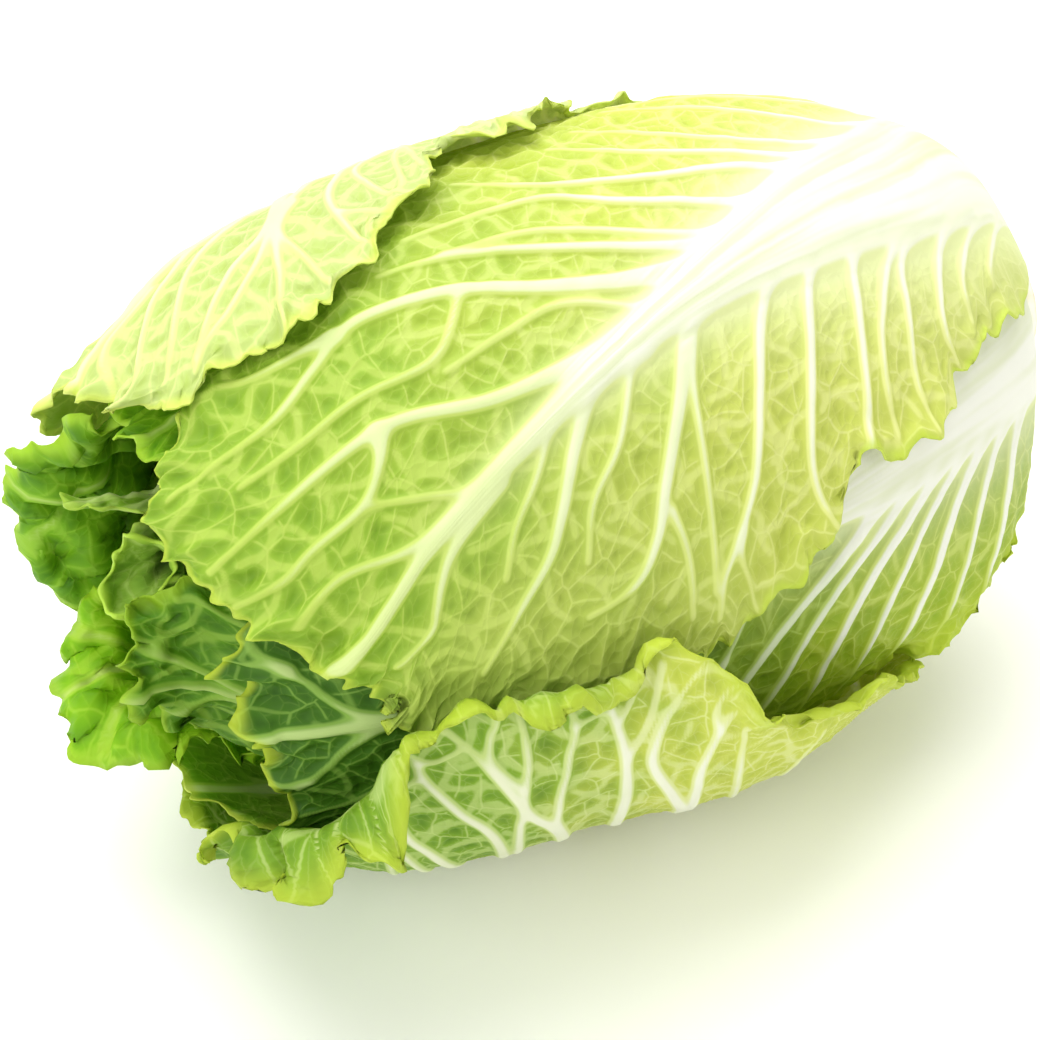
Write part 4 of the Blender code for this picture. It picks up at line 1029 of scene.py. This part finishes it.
inner_leaf(
    "net_inner_blade", "inner_leaf_net", deep_and_shaded_skin, 191, 125,
    (0.050, ((0.0, -14), (0.8, -10), (1.0, 0)), ((0.0, -38), (0.3, -64), (0.8, -62), (1.0, -60)),
     ((0.0, 10), (0.3, 38), (0.8, 43), (0.9, 50), (1.0, 62)),
     ((-1.0, 0.94), (0.0, 1.010), (1.0, 0.985))), 0.0222,
    lambda s, v: 0.0006 + 0.0020 * smooth_step(0.93, 0.98, s), 4, 3.3,
    ((-1.0, 0.022), (0.0, 0.018), (1.0, 0.025)), 20, crumple=0.0022,
    heights=(("Hollow Depth", 1.8), ("Rib Height", 1.5)))

# ---- heart ---------------------------------------------------------------------------------
# The tight middle of the head, dark green where the light hardly reaches: a core that the leaves
# wrap, four small leaf tips that stand out of it, and one leaf rolled into an open tube.
heart_skin = inner_skin("waxy_leaf_heart", "#93BE38", "#6C9C20", "#BCD870", "#CCE08C", "#B4D448",
                        ripe_to=200.0)
core_sunk = 0.0290


def turned_mesh(name, profile, segments, wobble):
    """A closed skin turned round the head's axis from (s, radius) rings, with ends on the axis."""
    angle = np.linspace(0.0, 360.0, segments, endpoint=False)
    places, radii = np.array(profile[1:-1], float).T
    s, angle = np.meshgrid(places, angle, indexing="ij")
    rings = place_on_head(s, angle, wobble(s, angle, radii[:, None] + 0.0 * s), 0.0)
    points = rings.reshape(-1, 3).tolist()
    points += [place_on_head(end, 0.0, 0.0, 0.0).tolist() for end in (profile[0][0], profile[-1][0])]
    first_end, second_end = len(points) - 2, len(points) - 1
    last = first_end - segments
    faces = []
    for k in range(segments):
        after = (k + 1) % segments
        for row in range(0, last, segments):
            faces.append((row + k, row + after, row + segments + after, row + segments + k))
        faces.append((first_end, after, k))
        faces.append((second_end, last + k, last + after))
    mesh = bpy.data.meshes.new(name)
    mesh.from_pydata(points, [], faces)
    mesh.shade_smooth()
    return put_in_scene(name, mesh)


core_ends = (0.085, 0.86)
core_places = np.linspace(core_ends[0], core_ends[1], 60)
core_radius = (shell_radius(core_places) - core_sunk) * (1.0 - 0.35 * smooth_step(0.6, 0.86, core_places))
core_rows = [(core_places[0], 0.0)] + list(zip(core_places, core_radius)) + [(core_places[-1] + 0.012, 0.0)]
heart_core = turned_mesh(
    "heart_core", core_rows, 96,
    lambda s, angle, radius: radius * (1.0 - 0.03 * np.abs(np.sin(np.radians(2.5 * angle + 90.0 * s))))
    + 0.0008 * soft_noise(s * 60.0, np.abs(angle - 180.0) / 7.0, 41))
core_paint = new_paint("leaf_in_deep_shade", {"Base Color": from_hex("#3C6410"), "Roughness": 0.6})[0]
heart_core.data.materials.append(core_paint)
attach(heart_core, "root")
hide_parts("heart")

heart_tips = ((120.0, 20.0, 0.992, 0.034, 0.5), (190.0, 40.0, 0.960, 0.020, 1.7),
              (300.0, 42.0, 0.950, 0.012, 2.9), (74.0, 26.0, 0.930, 0.030, 4.1))
for number, (middle, spread, tip_end, tip_radius, phase) in enumerate(heart_tips, 1):
    tip_shape = (0.66, level(middle), level(middle - spread), level(middle + spread),
                 ((-1.0, tip_end - 0.05), (0.0, tip_end), (1.0, tip_end - 0.04)))
    tip_leaf = grow_leaf(
        81, 61, tip_shape, level(0.040),
        ((0.0, 0.006), (0.9, 0.003), (1.0, 0.0016)), ((0.0, 0.0006), (1.0, 0.0004)), level(0.0),
        lambda s, v: 0.0024 * smooth_step(0.88, 0.94, s), 3, phase, tip_radius=level(tip_radius),
        frill=0.0022, teeth=0.0012, scallop=0.0022, scallop_length=0.007, crumple=0.0020, seed=60 + number)
    draw_ribs(tip_leaf, side_ribs(tip_shape, 4, 70 + number, root=1.6, end=0.6), 80 + number, fillet=0.0010)
    tip_skin = heart_skin if number < 4 else deep_and_shaded_skin
    finish_leaf("heart_tip_" + str(number), tip_leaf, tip_skin, "heart")

# the rolled leaf: a small blade wound into a trumpet that opens towards the front, ruffled at its
# mouth and painted dark inside as painted shade, where no light gets through its overlapping turns
roll_skin = inner_skin("waxy_rolled_leaf", "#A2C84A", "#6EA02A", "#BCD870", "#CCE08C", "#B8DC44",
                       ripe_to=200.0, see_through=0.06, dark_inside=(7.0, 15.0))
roll_foot = np.array((head_length * (0.5 - 0.80), 0.0060, 0.1040))
roll_mouth = np.array((head_length * (0.5 - 0.955), 0.0020, 0.1000))
roll_facing = np.array((-0.70, -0.42, 0.58))
roll_neck = 0.0068
roll_flare = 0.0040
roll_length = 0.043
roll_thickness = 0.0009
roll_half_turn = 170.0
roll_mean_radius = 0.0080
roll_t, roll_w = np.meshgrid(np.linspace(0.0, 1.0, 71), np.linspace(-1.0, 1.0, 141), indexing="ij")
roll_pull = 0.4 * np.linalg.norm(roll_mouth - roll_foot)
to_the_tip = np.array((-1.0, 0.0, 0.0))
roll_bend = [roll_foot, roll_foot + roll_pull * to_the_tip, roll_mouth - roll_pull * roll_facing, roll_mouth]
roll_back = 1.0 - roll_t
roll_centre = sum(share[..., None] * point for share, point in zip(
    (roll_back ** 3, 3.0 * roll_back ** 2 * roll_t, 3.0 * roll_back * roll_t ** 2, roll_t ** 3), roll_bend))
roll_way = roll_back[..., None] * to_the_tip + roll_t[..., None] * roll_facing
roll_way /= np.linalg.norm(roll_way, axis=-1, keepdims=True)
roll_side = np.cross(roll_way, np.array((0.0, 0.0, 1.0)))
roll_side /= np.linalg.norm(roll_side, axis=-1, keepdims=True)
roll_top = np.cross(roll_side, roll_way)
roll_turn = np.radians(roll_half_turn * roll_w + 60.0)
roll_out = np.cos(roll_turn)[..., None] * roll_side + np.sin(roll_turn)[..., None] * roll_top
roll_reach = roll_mean_radius * np.radians(roll_half_turn) * roll_w
roll_crimp = (0.6 * soft_noise(roll_t * 9.0, roll_reach / 0.0055, 91)
              + 0.4 * soft_noise(roll_t * 16.0, roll_reach / 0.0028, 92))
roll_wide = roll_neck + roll_flare * smooth_step(0.66, 1.0, roll_t) ** 1.5
roll_wide = roll_wide * (1.0 + 0.08 * np.sin(7.0 * roll_w))
roll_wide = roll_wide + 0.0024 * roll_crimp * smooth_step(0.3, 1.0, roll_t)
roll_slide = roll_t ** 4 * (0.0022 * np.sin(8.0 * roll_w + 1.0) + 0.0012 * np.sin(21.0 * roll_w))
roll_centre = roll_centre + roll_slide[..., None] * roll_way
roll_along = head_length * 0.80 + roll_length * roll_t
roll_vein_gap = 0.0080
slanting = np.mod(roll_along - 0.7 * np.abs(roll_reach), roll_vein_gap) - 0.5 * roll_vein_gap
rolled = dict(
    s=roll_along / head_length, outer=roll_centre + roll_wide[..., None] * roll_out,
    inner=roll_centre + (roll_wide - roll_thickness)[..., None] * roll_out, normal=roll_out,
    along=roll_along, across=roll_reach, half_rib=np.full(roll_t.shape, 0.0014),
    margin=np.minimum((1.0 - roll_t) * roll_length, (1.0 - np.abs(roll_w)) * 0.030), blade=roll_t ** 0.5,
    seed=9, vein=0.0007 - np.abs(roll_reach), twig=0.00045 - np.abs(slanting))
finish_leaf("heart_rolled_leaf", rolled, roll_skin, "heart")

# ---- stem ----------------------------------------------------------------------------------
# The cut stem: a stout cream-white stump, turned, with a slightly hollow cut that has browned in
# the air and faint rings where the leaves' feet leave it.
cut_profile = ((-0.010, 0.0), (-0.011, 0.010), (-0.013, 0.019), (-0.011, 0.0232), (-0.004, 0.0245),
               (0.030, 0.0245), (0.055, 0.021), (0.070, 0.015), (0.074, 0.0))
cut_steps = through(cut_profile, 6)[1:-1]
stem_rows = [cut_profile[0]] + [(s, max(radius, 0.0005)) for s, radius in cut_steps] + [cut_profile[-1]]
stem = turned_mesh(
    "stem_stump", stem_rows, 96,
    lambda s, angle, radius: radius - 0.0005 * smooth_step(0.012, 0.020, radius)
    * (0.5 + 0.5 * soft_noise(s * 160.0, np.abs(angle - 180.0) / 9.0, 51)))
stem_paint, stem_shader = new_paint("cut_cabbage_stem", {"Roughness": 0.55})
stem_tree = stem_paint.node_tree
stem_place = add(stem_tree, "ShaderNodeTexCoord", give="Object")
stem_mottle = add(stem_tree, "ShaderNodeTexNoise", {"Vector": stem_place, "Scale": 160.0, "Detail": 3.0})
cut_depth = add(stem_tree, "ShaderNodeSeparateXYZ", stem_place)
on_cut = add(stem_tree, "fade", cut_depth, head_length * 0.505, head_length * 0.511)
flesh = add(stem_tree, "mix", add(stem_tree, "fade", stem_mottle, 0.40, 0.62), "#FBF9EA", "#F1ECCF")
browned = add(stem_tree, "mix", add(stem_tree, "fade", stem_mottle, 0.42, 0.60), "#EFDDB4", "#D3AE78")
stem_skin = add(stem_tree, "mix", on_cut, flesh, browned)
stem_tree.links.new(stem_skin, stem_shader.inputs["Base Color"])
stem_bump = add(stem_tree, "ShaderNodeBump", {"Height": stem_mottle, "Strength": 0.4, "Distance": 0.0006})
stem_tree.links.new(stem_bump, stem_shader.inputs["Normal"])
stem.data.materials.append(stem_paint)
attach(stem, "root")
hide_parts("stem_butt")
